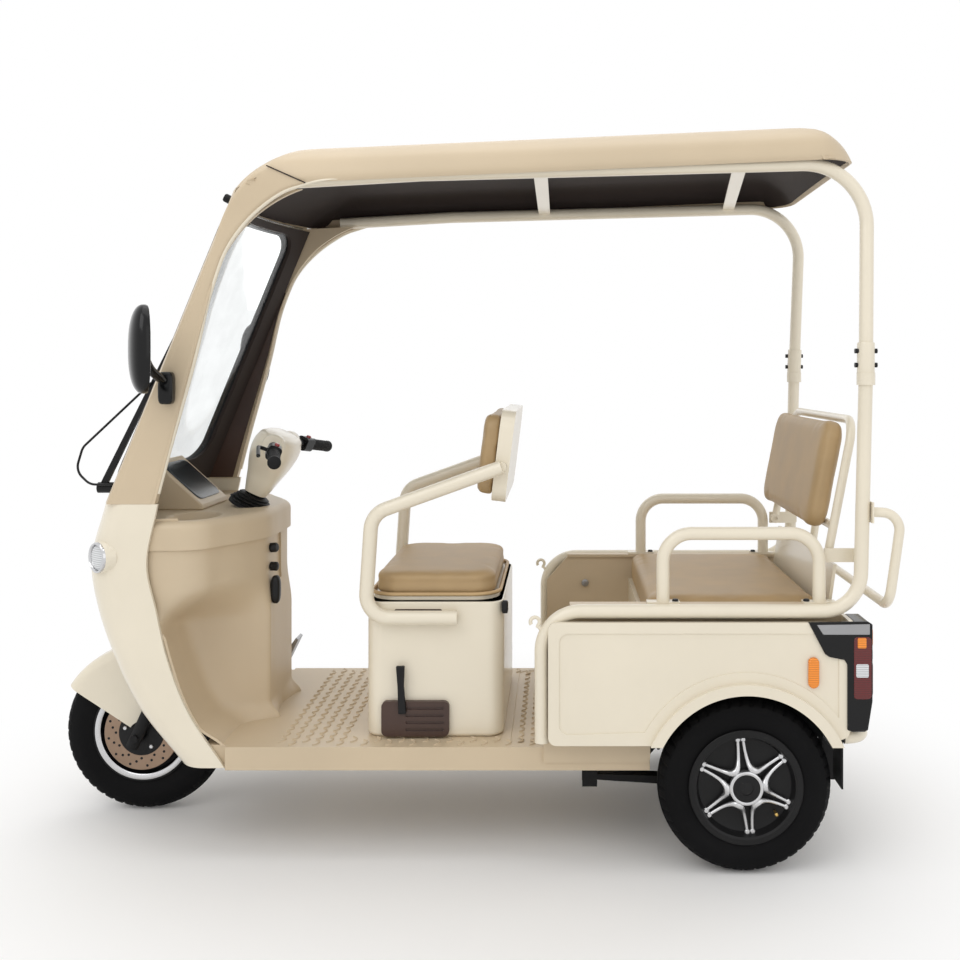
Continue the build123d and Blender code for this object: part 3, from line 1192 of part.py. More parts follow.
PANEL_TOP = RIM_Z - RIM_R - 4
FIELD_MARGIN = 26
FIELD_DEPTH = 3
for side, name in ((1, "left"), (-1, "right")):
    outer_y = BOX_HALF_WIDTH if side > 0 else -BOX_HALF_WIDTH + BOX_SKIN
    lip_y = BOX_HALF_WIDTH + ARCH_LIP if side > 0 else -BOX_HALF_WIDTH
    field_y = BOX_HALF_WIDTH if side > 0 else -BOX_HALF_WIDTH + FIELD_DEPTH
    with BuildPart() as side_panel:
        with BuildSketch(at_y(outer_y)):
            with BuildLine():
                FilletPolyline(
                    (BOX_FRONT_X, BOX_BOTTOM),
                    (BOX_FRONT_X, PANEL_TOP),
                    (BOX_REAR_X, PANEL_TOP),
                    (BOX_REAR_X, BOX_BOTTOM + 22),
                    (BOX_REAR_X + 60, BOX_BOTTOM),
                    radius=20,
                    close=True,
                )
            make_face()
            with Locations(rear_axle_line):
                Circle(ARCH_R, mode=Mode.SUBTRACT)
        extrude(amount=BOX_SKIN)
        with BuildSketch(at_y(field_y)):
            with BuildLine():
                FilletPolyline(
                    (BOX_FRONT_X - FIELD_MARGIN, BOX_BOTTOM + FIELD_MARGIN),
                    (BOX_FRONT_X - FIELD_MARGIN, PANEL_TOP - FIELD_MARGIN),
                    (BOX_REAR_X + FIELD_MARGIN, PANEL_TOP - FIELD_MARGIN),
                    (BOX_REAR_X + FIELD_MARGIN, BOX_BOTTOM + FIELD_MARGIN + 20),
                    radius=24,
                    close=True,
                )
            make_face()
            with Locations(rear_axle_line):
                Circle(ARCH_R + 2 * FIELD_MARGIN, mode=Mode.SUBTRACT)
        extrude(amount=FIELD_DEPTH, mode=Mode.SUBTRACT)
        with BuildSketch(at_y(lip_y)):
            with Locations(rear_axle_line):
                Circle(ARCH_R + FIELD_MARGIN)
                Circle(ARCH_R, mode=Mode.SUBTRACT)
            with Locations((REAR_AXLE_X, BOX_BOTTOM - ARCH_R)):
                Rectangle(4 * ARCH_R, 2 * ARCH_R, mode=Mode.SUBTRACT)
        extrude(amount=ARCH_LIP)
    side_panel.part.label = f"side_panel_{name}"
    pieces.append(side_panel.part)

HOUSE_BOTTOM = BOX_BOTTOM - 13
with BuildPart() as wheel_houses:
    with BuildSketch(at_y(BOX_HALF_WIDTH - BOX_SKIN)):
        with Locations(rear_axle_line):
            Circle(ARCH_R + ARCH_SKIN)
            Circle(ARCH_R, mode=Mode.SUBTRACT)
        with Locations((REAR_AXLE_X, HOUSE_BOTTOM - ARCH_R)):
            Rectangle(4 * ARCH_R, 2 * ARCH_R, mode=Mode.SUBTRACT)
    extrude(amount=BOX_HALF_WIDTH - BOX_SKIN - WHEEL_HOUSE_Y)
    with BuildSketch(at_y(WHEEL_HOUSE_Y)):
        with Locations(rear_axle_line):
            Circle(ARCH_R + ARCH_SKIN)
        with Locations((REAR_AXLE_X, HOUSE_BOTTOM - ARCH_R)):
            Rectangle(4 * ARCH_R, 2 * ARCH_R, mode=Mode.SUBTRACT)
    extrude(amount=ARCH_SKIN)
    mirror(about=Plane.XZ)
wheel_houses.part.label = "wheel_houses"
pieces.append(wheel_houses.part)

FLANGE_TOP = RIM_Z + 12
FLANGE_SKIN = 8
FLANGE_FRONT_X = RIM_FRONT_X - 68
FLANGE_OUTER_Y = RIM_Y - RIM_R - SEAT_GAP
FLANGE_INNER_Y = INNER_WALL_Y - 10
WALL_BOTTOM = SKIRT_BOTTOM + 22
WALL_REAR_X = BOX_REAR_X + 4
FLAP_TOP = 345
with BuildPart() as inner_walls:
    with BuildSketch(at_y(INNER_WALL_Y + INNER_WALL_SKIN)):
        with BuildLine():
            Polyline(
                (RIM_FRONT_X - 4, WALL_BOTTOM),
                (RIM_FRONT_X - 4, RIM_Z - 68),
                (FLANGE_FRONT_X, FLANGE_TOP - FLANGE_SKIN),
                (WALL_REAR_X, FLANGE_TOP - FLANGE_SKIN),
                (WALL_REAR_X, FLAP_TOP + 5),
                (FLOOR_REAR_X, FLAP_TOP + 5),
                (FLOOR_REAR_X, WALL_BOTTOM),
                close=True,
            )
        make_face()
        with Locations(rear_axle_line):
            Circle(ARCH_R + ARCH_SKIN + SEAT_GAP, mode=Mode.SUBTRACT)
    extrude(amount=INNER_WALL_SKIN)
    flange_mid = (
        (WALL_REAR_X + FLANGE_FRONT_X) / 2,
        (FLANGE_OUTER_Y + FLANGE_INNER_Y) / 2,
        FLANGE_TOP - FLANGE_SKIN / 2,
    )
    with Locations(flange_mid):
        Box(FLANGE_FRONT_X - WALL_REAR_X, FLANGE_OUTER_Y - FLANGE_INNER_Y, FLANGE_SKIN)
    mirror(about=Plane.XZ)
inner_walls.part.label = "inner_walls"
pieces.append(inner_walls.part)

with BuildPart() as bench_box:
    with Locations(((FLOOR_REAR_X + BENCH_SKIN / 2), 0, (FLOOR_TOP + BENCH_TOP) / 2)):
        Box(BENCH_SKIN, 2 * INNER_WALL_Y, BENCH_TOP - FLOOR_TOP)
    with Locations(((FLOOR_REAR_X + BOX_REAR_X) / 2, 0, BENCH_TOP - BENCH_SKIN / 2)):
        Box(FLOOR_REAR_X - BOX_REAR_X, 2 * INNER_WALL_Y, BENCH_SKIN)
bench_box.part.label = "bench_box"
pieces.append(bench_box.part)

BENCH_FRONT_X = FLOOR_REAR_X + 9
BENCH_REAR_X = BOX_REAR_X + 44
with BuildPart() as bench_cushion:
    with BuildSketch(Plane.XY.offset(BENCH_TOP + SEAT_GAP)):
        with Locations(((BENCH_FRONT_X + BENCH_REAR_X) / 2, 0)):
            RectangleRounded(BENCH_FRONT_X - BENCH_REAR_X, 2 * (INNER_WALL_Y - 17), 44)
    extrude(amount=BENCH_CUSHION_TOP - BENCH_TOP - SEAT_GAP)
    fillet(bench_cushion.faces().sort_by(Axis.Z)[-1].edges(), 18)
bench_cushion.part.label = "bench_cushion"
pieces.append(bench_cushion.part)

REAR_SKIN = 10
REAR_LOW = RAIL_REAR_TOP + 2
REAR_HIGH = RIM_Z - RIM_R - 2
with BuildPart() as rear_panel:
    with BuildSketch(Plane.YZ.offset(BOX_REAR_X - REAR_SKIN)):
        with Locations((0, (REAR_LOW + REAR_HIGH) / 2)):
            RectangleRounded(2 * BOX_HALF_WIDTH, REAR_HIGH - REAR_LOW, 20)
    extrude(amount=REAR_SKIN)
rear_panel.part.label = "rear_panel"
pieces.append(rear_panel.part)

with BuildPart() as lower_back:
    with BuildSketch(at_y(INNER_WALL_Y - 20)):
        with BuildLine():
            Polyline(
                (BENCH_REAR_X - 4, BENCH_TOP),
                (BENCH_REAR_X - 28, BACK_PIVOT_Z - 25),
                (BENCH_REAR_X - 36, BACK_PIVOT_Z - 25),
                (BENCH_REAR_X - 12, BENCH_TOP),
                close=True,
            )
        make_face()
    extrude(amount=2 * (INNER_WALL_Y - 20))
lower_back.part.label = "lower_back"
pieces.append(lower_back.part)

CROSS_BAR_RISE = 70
with BuildPart() as backrest_frame:
    with BuildLine(BACK) as back_path:
        FilletPolyline(
            (BACK_BAR_Y, 0),
            (BACK_BAR_Y, BACK_LENGTH),
            (-BACK_BAR_Y, BACK_LENGTH),
            (-BACK_BAR_Y, 0),
            radius=60,
        )
    with BuildSketch(Plane(origin=back_path.line @ 0, z_dir=back_path.line % 0)):
        Circle(BACK_BAR_R)
    sweep()
    cross_x = BACK_PIVOT_X - sin(radians(BACK_LEAN)) * CROSS_BAR_RISE
    cross_z = BACK_PIVOT_Z + cos(radians(BACK_LEAN)) * CROSS_BAR_RISE
    with BuildSketch(at_y(BACK_BAR_Y)):
        with Locations((cross_x, cross_z)):
            Circle(BACK_BAR_R - SEAT_GAP)
    extrude(amount=2 * BACK_BAR_Y)
    for bar_y in (BACK_BAR_Y, -BACK_BAR_Y):
        with BuildSketch(at_y(bar_y + BACK_BAR_R)):
            with Locations((BACK_PIVOT_X, BACK_PIVOT_Z)):
                Circle(14)
        extrude(amount=2 * BACK_BAR_R)
        with BuildSketch(at_y(bar_y + BACK_BAR_R + 20)):
            with Locations((BACK_PIVOT_X, BACK_PIVOT_Z)):
                Circle(BACK_PIN_R + RUNNING)
        extrude(amount=2 * BACK_BAR_R + 40, mode=Mode.SUBTRACT)
backrest_frame.part.label = "backrest_frame"
pieces.append(backrest_frame.part)

with BuildPart() as backrest_cushion:
    with BuildSketch(BACK.offset(BACK_BAR_R + SEAT_GAP)):
        with Locations((0, BACK_LENGTH - 147)):
            RectangleRounded(2 * (BACK_BAR_Y - 13), 280, 50)
    extrude(amount=48)
    fillet(backrest_cushion.faces().sort_by(Axis.X)[-1].edges(), 16)
backrest_cushion.part.label = "backrest_cushion"
pieces.append(backrest_cushion.part)

HANDRAIL_FRONT_X = -518
HANDRAIL_REAR_X = -899
HANDRAIL_MID = HANDRAIL_TOP - HANDRAIL_R
with BuildPart() as handrails:
    with BuildLine() as hand_path:
        FilletPolyline(
            (HANDRAIL_FRONT_X, HANDRAIL_Y, FLANGE_TOP),
            (HANDRAIL_FRONT_X, HANDRAIL_Y, HANDRAIL_MID),
            (HANDRAIL_REAR_X, HANDRAIL_Y, HANDRAIL_MID),
            (HANDRAIL_REAR_X, HANDRAIL_Y, FLANGE_TOP),
            radius=70,
        )
    with BuildSketch(Plane(origin=hand_path.line @ 0, z_dir=hand_path.line % 0)):
        Circle(HANDRAIL_R)
    sweep()
    for foot_x in (HANDRAIL_FRONT_X, HANDRAIL_REAR_X):
        with Locations((foot_x, HANDRAIL_Y, FLANGE_TOP + 3)):
            Box(80, 34, 6)
    mirror(about=Plane.XZ)
handrails.part.label = "handrails"
pieces.append(handrails.part)

HOOP_R = 12
HOOP_X = POST_BOTTOM_X - 101.1
HOOP_ROOT_X = POST_BOTTOM_X - 26
HOOP_TOP = 864
HOOP_LOW = RIM_Z + 12
HOOP_SET = 32
with BuildPart() as rear_hoop:
    with BuildLine() as hoop_path:
        FilletPolyline(
            (HOOP_ROOT_X, RIM_Y, HOOP_TOP + 4),
            (HOOP_X, RIM_Y, HOOP_TOP),
            (HOOP_X + HOOP_SET, RIM_Y, HOOP_LOW),
            (HOOP_X + HOOP_SET, -RIM_Y, HOOP_LOW),
            (HOOP_X, -RIM_Y, HOOP_TOP),
            (HOOP_ROOT_X, -RIM_Y, HOOP_TOP + 4),
            radius=42,
        )
    with BuildSketch(Plane(origin=hoop_path.line @ 0, z_dir=hoop_path.line % 0)):
        Circle(HOOP_R)
    sweep()
    with Locations((HOOP_ROOT_X, RIM_Y, HOOP_TOP + 4), (HOOP_ROOT_X, -RIM_Y, HOOP_TOP + 4)):
        Box(4, 44, 50)
rear_hoop.part.label = "rear_hoop"
pieces.append(rear_hoop.part)

LAMP_X = BOX_REAR_X - REAR_SKIN
LAMP_LOW = REAR_LOW + 3
LAMP_HIGH = REAR_HIGH - 3
with BuildPart() as tail_lamps:
    with BuildSketch(at_y(BOX_HALF_WIDTH)):
        with BuildLine():
            FilletPolyline(
                (LAMP_X, LAMP_LOW),
                (LAMP_X - 32, LAMP_LOW),
                (LAMP_X - 44, LAMP_LOW + 75),
                (LAMP_X - 44, LAMP_HIGH),
                (LAMP_X, LAMP_HIGH),
                radius=9,
                close=True,
            )
        make_face()
    extrude(amount=112)
    mirror(about=Plane.XZ)
tail_lamps.part.label = "tail_lamps"
pieces.append(tail_lamps.part)

MARKER_X = BOX_REAR_X + 88
with BuildPart() as side_markers:
    with BuildSketch(at_y(BOX_HALF_WIDTH + 6)):
        with Locations((MARKER_X, 489)):
            RectangleRounded(24, 74, 6)
    extrude(amount=6 + FIELD_DEPTH)
    mirror(about=Plane.XZ)
side_markers.part.label = "side_markers"
pieces.append(side_markers.part)

BUMPER_R = 17
BUMPER_X = RAIL_REAR_X - SEAT_GAP - BUMPER_R
BUMPER_Y = BOX_HALF_WIDTH - 35
BUMPER_Z = (RAIL_REAR_BOTTOM + RAIL_REAR_TOP) / 2 + 5
with BuildPart() as rear_bumper:
    with BuildLine() as bumper_path:
        FilletPolyline(
            (BOX_REAR_X + 6, BUMPER_Y, BUMPER_Z),
            (BUMPER_X, BUMPER_Y, BUMPER_Z),
            (BUMPER_X, -BUMPER_Y, BUMPER_Z),
            (BOX_REAR_X + 6, -BUMPER_Y, BUMPER_Z),
            radius=45,
        )
    with BuildSketch(Plane(origin=bumper_path.line @ 0, z_dir=bumper_path.line % 0)):
        Circle(BUMPER_R)
    sweep()
rear_bumper.part.label = "rear_bumper"
pieces.append(rear_bumper.part)

FLAP_INNER_Y = WHEEL_HOUSE_Y + 12
FLAP_OUTER_Y = BOX_HALF_WIDTH - BOX_SKIN
FLAP_LENGTH = 140
with BuildPart() as mudflaps:
    with Locations((BOX_REAR_X + 15, (FLAP_OUTER_Y + FLAP_INNER_Y) / 2, FLAP_TOP - FLAP_LENGTH / 2)):
        Box(4, FLAP_OUTER_Y - FLAP_INNER_Y, FLAP_LENGTH)
    mirror(about=Plane.XZ)
mudflaps.part.label = "mudflaps"
pieces.append(mudflaps.part)

# Rear axle with the drive motor, and the leaf springs under it
AXLE_TUBE_R = 28
DRUM_R = 72
DRUM_THICK = 28
MOTOR_R = 82
MOTOR_HALF = 110
SPRING_TOP = REAR_TYRE_R - 42
AXLE_HALF = WHEEL_HOUSE_Y - 8
AXLE_PARTS = (  # radius, half length
    (AXLE_TUBE_R, AXLE_HALF),
    (REAR_STUB_R, TRACK_HALF + 40),
    (MOTOR_R, MOTOR_HALF),
)
with BuildPart() as rear_axle:
    for radius, reach in AXLE_PARTS:
        with BuildSketch(at_y(reach)):
            with Locations(rear_axle_line):
                Circle(radius)
        extrude(amount=2 * reach)
    for drum_y in (AXLE_HALF + 5, -AXLE_HALF - 5 + DRUM_THICK):
        with BuildSketch(at_y(drum_y)):
            with Locations(rear_axle_line):
                Circle(DRUM_R)
        extrude(amount=DRUM_THICK)
    seat_z = (SPRING_TOP + REAR_TYRE_R) / 2
    with Locations((REAR_AXLE_X, RAIL_Y, seat_z), (REAR_AXLE_X, -RAIL_Y, seat_z)):
        Box(60, 2 * SPRING_HALF_WIDTH, REAR_TYRE_R - SPRING_TOP)
rear_axle.part.label = "rear_axle"
pieces.append(rear_axle.part)

with BuildPart() as leaf_springs:
    with BuildSketch(at_y(RAIL_Y + SPRING_HALF_WIDTH)):
        with BuildLine():
            Polyline(
                (HANGER_X, SPRING_EYE_Z + 6),
                (REAR_AXLE_X + 72, SPRING_TOP),
                (REAR_AXLE_X - 72, SPRING_TOP),
                (SHACKLE_X, SHACKLE_EYE_Z + 6),
                (SHACKLE_X, SHACKLE_EYE_Z - 8),
                (REAR_AXLE_X - 168, SPRING_TOP - 4),
                (REAR_AXLE_X - 88, SPRING_TOP - 22),
                (REAR_AXLE_X + 92, SPRING_TOP - 22),
                (REAR_AXLE_X + 212, SPRING_TOP - 14),
                (HANGER_X, SPRING_EYE_Z - 8),
                close=True,
            )
        make_face()
        with Locations((HANGER_X, SPRING_EYE_Z), (SHACKLE_X, SHACKLE_EYE_Z)):
            Circle(15)
            Circle(SPRING_PIN_R + RUNNING, mode=Mode.SUBTRACT)
    extrude(amount=2 * SPRING_HALF_WIDTH)
    mirror(about=Plane.XZ)
leaf_springs.part.label = "leaf_springs"
pieces.append(leaf_springs.part)

# Mirrors on blocks on the pillars, turned towards the driver
MIRROR_X = 712
MIRROR_Y = COWL_HALF_WIDTH + 120
MIRROR_Z = 1259
MIRROR_TURN = 28
MIRROR_DEPTH = 40
BLOCK_X = 694
BLOCK_Z = 1166
mirror_plane = Plane(
    origin=(MIRROR_X, MIRROR_Y, MIRROR_Z),
    x_dir=(0, 0, 1),
    z_dir=(cos(radians(MIRROR_TURN)), sin(radians(MIRROR_TURN)), 0),
)
with BuildPart() as mirrors:
    with BuildSketch(mirror_plane.offset(-MIRROR_DEPTH / 2)):
        Ellipse(106, 62)
    extrude(amount=MIRROR_DEPTH)
    fillet(mirrors.faces().sort_by(Axis.X)[-1].edges(), 18)
    with BuildSketch(at_y(COWL_HALF_WIDTH + SEAT_GAP + 34)):
        with Locations((BLOCK_X, BLOCK_Z)):
            RectangleRounded(36, 80, 12)
    extrude(amount=34)
    with BuildLine() as stay_path:
        Line((BLOCK_X, COWL_HALF_WIDTH + 20, BLOCK_Z + 14), (MIRROR_X, MIRROR_Y - 22, MIRROR_Z - 38))
    with BuildSketch(Plane(origin=stay_path.line @ 0, z_dir=stay_path.line % 0)):
        Circle(11)
    sweep()
    mirror(about=Plane.XZ)
mirrors.part.label = "mirrors"
pieces.append(mirrors.part)

# Brake pedal on an arm from the right knee wall
PEDAL_Y = -COLUMN_HALF_WIDTH - 20
PEDAL_Z = 392
PEDAL_X = COLUMN_REAR_X + 12
ARM_HALF_Z = 6
knee_slope = (KNEE_LINE[2][0] - KNEE_LINE[1][0]) / (KNEE_LINE[2][1] - KNEE_LINE[1][1])
arm_root_z = PEDAL_Z + 26
arm_root_x = KNEE_LINE[1][0] + knee_slope * (arm_root_z - KNEE_LINE[1][1])
with BuildPart() as brake_pedal:
    with BuildSketch(at_y(PEDAL_Y)):
        with BuildLine():
            Polyline(
                (arm_root_x - SEAT_GAP + knee_slope * ARM_HALF_Z, arm_root_z + ARM_HALF_Z),
                (PEDAL_X + 7, PEDAL_Z + 6),
                (PEDAL_X - 16, PEDAL_Z + 38),
                (PEDAL_X - 23, PEDAL_Z + 33),
                (PEDAL_X + 15, PEDAL_Z - 44),
                (PEDAL_X + 22, PEDAL_Z - 39),
                (PEDAL_X + 10, PEDAL_Z - 6),
                (arm_root_x - SEAT_GAP - knee_slope * ARM_HALF_Z, arm_root_z - ARM_HALF_Z),
                close=True,
            )
        make_face()
    extrude(amount=60)
brake_pedal.part.label = "brake_pedal"
pieces.append(brake_pedal.part)

os.makedirs("parts", exist_ok=True)
for piece in pieces:
    export_step(piece, f"parts/{piece.label}.step")
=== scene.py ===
"""Looks of the covered electric passenger tricycle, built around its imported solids."""

import math

import bmesh
import bpy
import numpy as np
from bpy.props import FloatProperty, FloatVectorProperty, IntProperty, PointerProperty
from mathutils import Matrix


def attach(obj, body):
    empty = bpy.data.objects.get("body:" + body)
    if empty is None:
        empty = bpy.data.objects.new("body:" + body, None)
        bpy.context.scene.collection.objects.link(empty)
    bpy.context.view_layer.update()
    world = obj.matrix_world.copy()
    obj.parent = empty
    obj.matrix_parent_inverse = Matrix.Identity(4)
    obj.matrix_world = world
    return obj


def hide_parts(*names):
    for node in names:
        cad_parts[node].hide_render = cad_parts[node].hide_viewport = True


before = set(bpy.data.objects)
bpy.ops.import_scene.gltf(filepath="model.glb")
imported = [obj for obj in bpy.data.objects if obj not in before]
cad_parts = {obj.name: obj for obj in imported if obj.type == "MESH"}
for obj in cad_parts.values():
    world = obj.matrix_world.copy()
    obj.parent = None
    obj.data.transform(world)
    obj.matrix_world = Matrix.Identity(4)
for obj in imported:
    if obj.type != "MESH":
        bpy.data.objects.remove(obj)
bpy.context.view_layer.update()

bl_info = {
    "name": "Passenger tricycle looks",
    "version": (1, 0, 0),
    "blender": (4, 5, 0),
    "location": "View3D > Sidebar > Tricycle",
    "description": "Builds the finishes, cushions and mouldings of a covered electric tricycle",
    "category": "Object",
}

MM = 0.001
JOIN = 2.5e-5  # points closer than this, in metres, are one
RAKE = math.radians(24.6)
FRONT_AXLE = np.array([877.0, 0.0, 220.0])
STEER_AXIS = np.array([-math.sin(RAKE), 0.0, math.cos(RAKE)])
STEER_FRONT = np.array([math.cos(RAKE), 0.0, math.sin(RAKE)])
SCREEN_R = 850.0  # the windscreen's arc, seen from above
DASH_S = 676.4
BAR_S = 868.4


def colour_field(label, about, value):
    """One colour that a user may change, given as linear red, green and blue."""
    return FloatVectorProperty(
        name=label, description=about, default=value, min=0, max=1, size=3, subtype="COLOR"
    )


class TricycleColours(bpy.types.PropertyGroup):
    """Colours of the finishes."""

    cream: colour_field("Cream", "Painted panels, tubes and seat box", (0.80, 0.735, 0.60))
    beige: colour_field("Beige", "Roof, pillars, dash and floor", (0.605, 0.494, 0.346))
    tan: colour_field("Tan", "Vinyl of the cushions", (0.43, 0.297, 0.150))
    lining: colour_field("Lining", "Cloth under the roof and round the glass", (0.021, 0.012, 0.009))
    # Brown also fills the narrow slot on the seat box, as painted shade of its recess.
    brown: colour_field("Brown", "Lever housing and seat trim", (0.055, 0.028, 0.020))
    rubber: colour_field("Rubber", "Tyres, bellows and grips", (0.005, 0.005, 0.0055))
    black: colour_field("Black", "Mirrors, wiper and switch blocks", (0.006, 0.006, 0.0065))
    alloy: colour_field("Alloy", "Black wheel discs", (0.009, 0.009, 0.0095))
    silver: colour_field("Silver", "Spokes, hub rings and bolts", (0.62, 0.62, 0.63))
    amber: colour_field("Amber", "Turn lamps and side markers", (0.90, 0.27, 0.02))
    red: colour_field("Red", "Tail lamps and buttons", (0.33, 0.012, 0.012))


class TricycleSizes(bpy.types.PropertyGroup):
    """Sizes of the details."""

    scale_pitch: FloatProperty(
        name="Scale pitch", description="Distance between the raised scales of the floor", default=0.048, unit="LENGTH"
    )
    tread_depth: FloatProperty(
        name="Tread depth", description="Depth of the grooves in the tyres", default=0.004, unit="LENGTH"
    )
    piping: FloatProperty(
        name="Piping", description="Radius of the piping round the seat", default=0.005, unit="LENGTH"
    )
    spokes: IntProperty(name="Spoke arcs", description="Curved arcs on each rear wheel", default=6, min=3, max=12)


# Meshes


def grid_faces(rows, columns, wrap_rows=False, wrap_columns=False):
    """Quads between the neighbours of a grid of points, joined round where it wraps."""
    i = np.arange(rows if wrap_rows else rows - 1)
    j = np.arange(columns if wrap_columns else columns - 1)
    i, j = np.meshgrid(i, j, indexing="ij")
    below = (i + 1) % rows
    right = (j + 1) % columns
    quads = np.stack([i * columns + j, below * columns + j, below * columns + right, i * columns + right], -1)
    return quads.reshape(-1, 4)


def outward(points, faces):
    """Faces turned round if the volume they close is negative."""
    a, b, c, d = (points[faces[:, k]] for k in range(4))
    volume = np.einsum("ij,ij->", a, np.cross(b, c)) + np.einsum("ij,ij->", a, np.cross(c, d))
    return faces[:, ::-1] if volume < 0 else faces


def new_object(name, points, faces, finish, body="chassis", slot=None, sharp=40):
    """Mesh object from points in millimetres, on its body. The slot argument is not used."""
    slot = slot or finish
    mesh = bpy.data.meshes.new(name)
    mesh.from_pydata((np.asarray(points).reshape(-1, 3) * MM).tolist(), [], np.asarray(faces).tolist())
    shape = bmesh.new()
    shape.from_mesh(mesh)
    bmesh.ops.remove_doubles(shape, verts=shape.verts, dist=JOIN)
    shape.to_mesh(mesh)
    shape.free()
    mesh.polygons.foreach_set("use_smooth", np.full(len(mesh.polygons), True))
    mesh.set_sharp_from_angle(angle=math.radians(sharp))
    piece = bpy.data.objects.new(name, mesh)
    bpy.context.scene.collection.objects.link(piece)
    mesh.materials.append(FINISHES[finish])
    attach(piece, body)
    return piece


def joined(parts):
    """One list of points and one of quads from several, numbered on."""
    points = [np.asarray(p, float).reshape(-1, 3) for p, f in parts]
    starts = np.cumsum([0] + [len(p) for p in points[:-1]])
    faces = [np.asarray(f) + start for (p, f), start in zip(parts, starts)]
    return np.concatenate(points), np.concatenate(faces)


def normals_of(grid):
    """Unit normals of a grid: the cross product of its two differences."""
    along = np.gradient(grid, axis=0)
    across = np.gradient(grid, axis=1)
    normal = np.cross(along, across)
    return normal / np.maximum(np.linalg.norm(normal, axis=-1, keepdims=True), 1e-9)


def moved_in(grid, distance, inside):
    """The grid moved along its normals by a distance, to the side on which a point lies."""
    normal = normals_of(grid)
    for edge, beside in ((0, 1), (-1, -2)):
        bare = np.linalg.norm(normal[:, edge], axis=-1) < 0.5
        normal[bare, edge] = normal[bare, beside]
    row, column = grid.shape[0] // 2, grid.shape[1] // 2
    side = 1 if np.dot(normal[row, column], np.asarray(inside) - grid[row, column]) > 0 else -1
    return grid + normal * distance * side


def shell(grid, thickness, inside):
    """Closed wall: the grid, the same grid moved by the thickness to the side of a point, and quads round the rim."""
    inner = moved_in(grid, thickness, inside)
    rows, columns = grid.shape[:2]
    front = grid_faces(rows, columns)
    back = front[:, ::-1] + rows * columns
    number = np.arange(rows * columns).reshape(rows, columns)
    rim = np.concatenate([number[0, :], number[1:, -1], number[-1, -2::-1], number[-2:0:-1, 0]])
    after = np.roll(rim, -1)
    edge = np.stack([rim, rim + rows * columns, after + rows * columns, after], -1)
    points = np.concatenate([grid.reshape(-1, 3), inner.reshape(-1, 3)])
    faces = np.concatenate([front, back, edge])
    return points, outward(points, faces)


def lathe(profile, origin, axis, turns=64):
    """Profile of (radius, height) turned about an axis; its ends lie on the axis or close on each other."""
    profile = np.asarray(profile, float)
    axis = np.asarray(axis, float) / np.linalg.norm(axis)
    side = np.cross(axis, [0.0, 0.0, 1.0] if abs(axis[2]) < 0.9 else [1.0, 0.0, 0.0])
    side = side / np.linalg.norm(side)
    third = np.cross(axis, side)
    angle = np.linspace(0, 2 * np.pi, turns, endpoint=False)
    ring = np.cos(angle)[:, None] * side + np.sin(angle)[:, None] * third
    grid = np.asarray(origin) + profile[None, :, :1] * ring[:, None, :] + profile[None, :, 1:] * axis
    faces = grid_faces(turns, len(profile), wrap_rows=True)
    points = grid.reshape(-1, 3)
    return points, outward(points, faces)


def rounded_tube(path, radius, sides=12, closed=False, flat=1.0, up=(0, 0, 1)):
    """Circle of points carried along a path, square to it; the ends are drawn in to a point."""
    path = np.asarray(path, float)
    if closed:
        run = np.roll(path, -1, 0) - np.roll(path, 1, 0)
    else:
        run = np.gradient(path, axis=0)
    run = run / np.linalg.norm(run, axis=1, keepdims=True)
    side = np.cross(run, np.asarray(up, float))
    side = side / np.maximum(np.linalg.norm(side, axis=1, keepdims=True), 1e-9)
    third = np.cross(side, run)
    angle = np.linspace(0, 2 * np.pi, sides, endpoint=False)
    radius = np.broadcast_to(np.asarray(radius, float), len(path))
    if not closed:
        path = np.concatenate([path[:1], path, path[-1:]])
        side, third = (np.concatenate([v[:1], v, v[-1:]]) for v in (side, third))
        radius = np.concatenate([[0.01], radius, [0.01]])
    ring = np.cos(angle)[None, :, None] * side[:, None] + flat * np.sin(angle)[None, :, None] * third[:, None]
    grid = path[:, None] + radius[:, None, None] * ring
    points = grid.reshape(-1, 3)
    return points, outward(points, grid_faces(len(path), sides, wrap_rows=closed, wrap_columns=True))


def rounded_box(centre, size, power=6, rows=13, columns=28, turn=None):
    """Superellipsoid: a box whose corners are rounded, less for a higher power."""
    lift = np.linspace(-np.pi / 2, np.pi / 2, rows)
    round_ = np.linspace(-np.pi, np.pi, columns, endpoint=False)
    part = lambda f, v: np.sign(f(v)) * np.abs(f(v)) ** (2.0 / power)
    x = part(np.cos, lift)[:, None] * part(np.cos, round_)[None]
    y = part(np.cos, lift)[:, None] * part(np.sin, round_)[None]
    z = np.broadcast_to(part(np.sin, lift)[:, None], x.shape)
    grid = np.stack([x, y, z], -1) * np.asarray(size) / 2
    if turn is not None:
        grid = grid @ np.asarray(turn).T
    points = grid.reshape(-1, 3) + np.asarray(centre, float)
    return points, outward(points, grid_faces(rows, columns, wrap_columns=True))


def pillow(outline, centre, origin, across, up, height, edge=1.5, base=0.0):
    """Plate with a rounded edge: an outline drawn out from its centre, level in the middle and falling at the rim."""
    across, up = np.asarray(across, float), np.asarray(up, float)
    out = np.cross(across, up)
    outline, centre = np.asarray(outline, float), np.asarray(centre, float)
    reach = np.linalg.norm(outline - centre, axis=1).mean()
    turn = np.linspace(0, np.pi / 2, 5)
    near = 1 - edge / reach
    share = np.concatenate([[0.0001, 0.5, near * 0.97], near + (1 - near) * np.sin(turn), [1.0, 0.0001]])
    lift = np.concatenate([[height] * 3, height - edge * (1 - np.cos(turn)), [base, base]])
    flat = centre + share[:, None, None] * (outline - centre)[None]
    grid = np.asarray(origin, float) + flat[..., :1] * across + flat[..., 1:] * up + lift[:, None, None] * out
    points = grid.reshape(-1, 3)
    return points, outward(points, grid_faces(len(share), len(outline), wrap_columns=True))


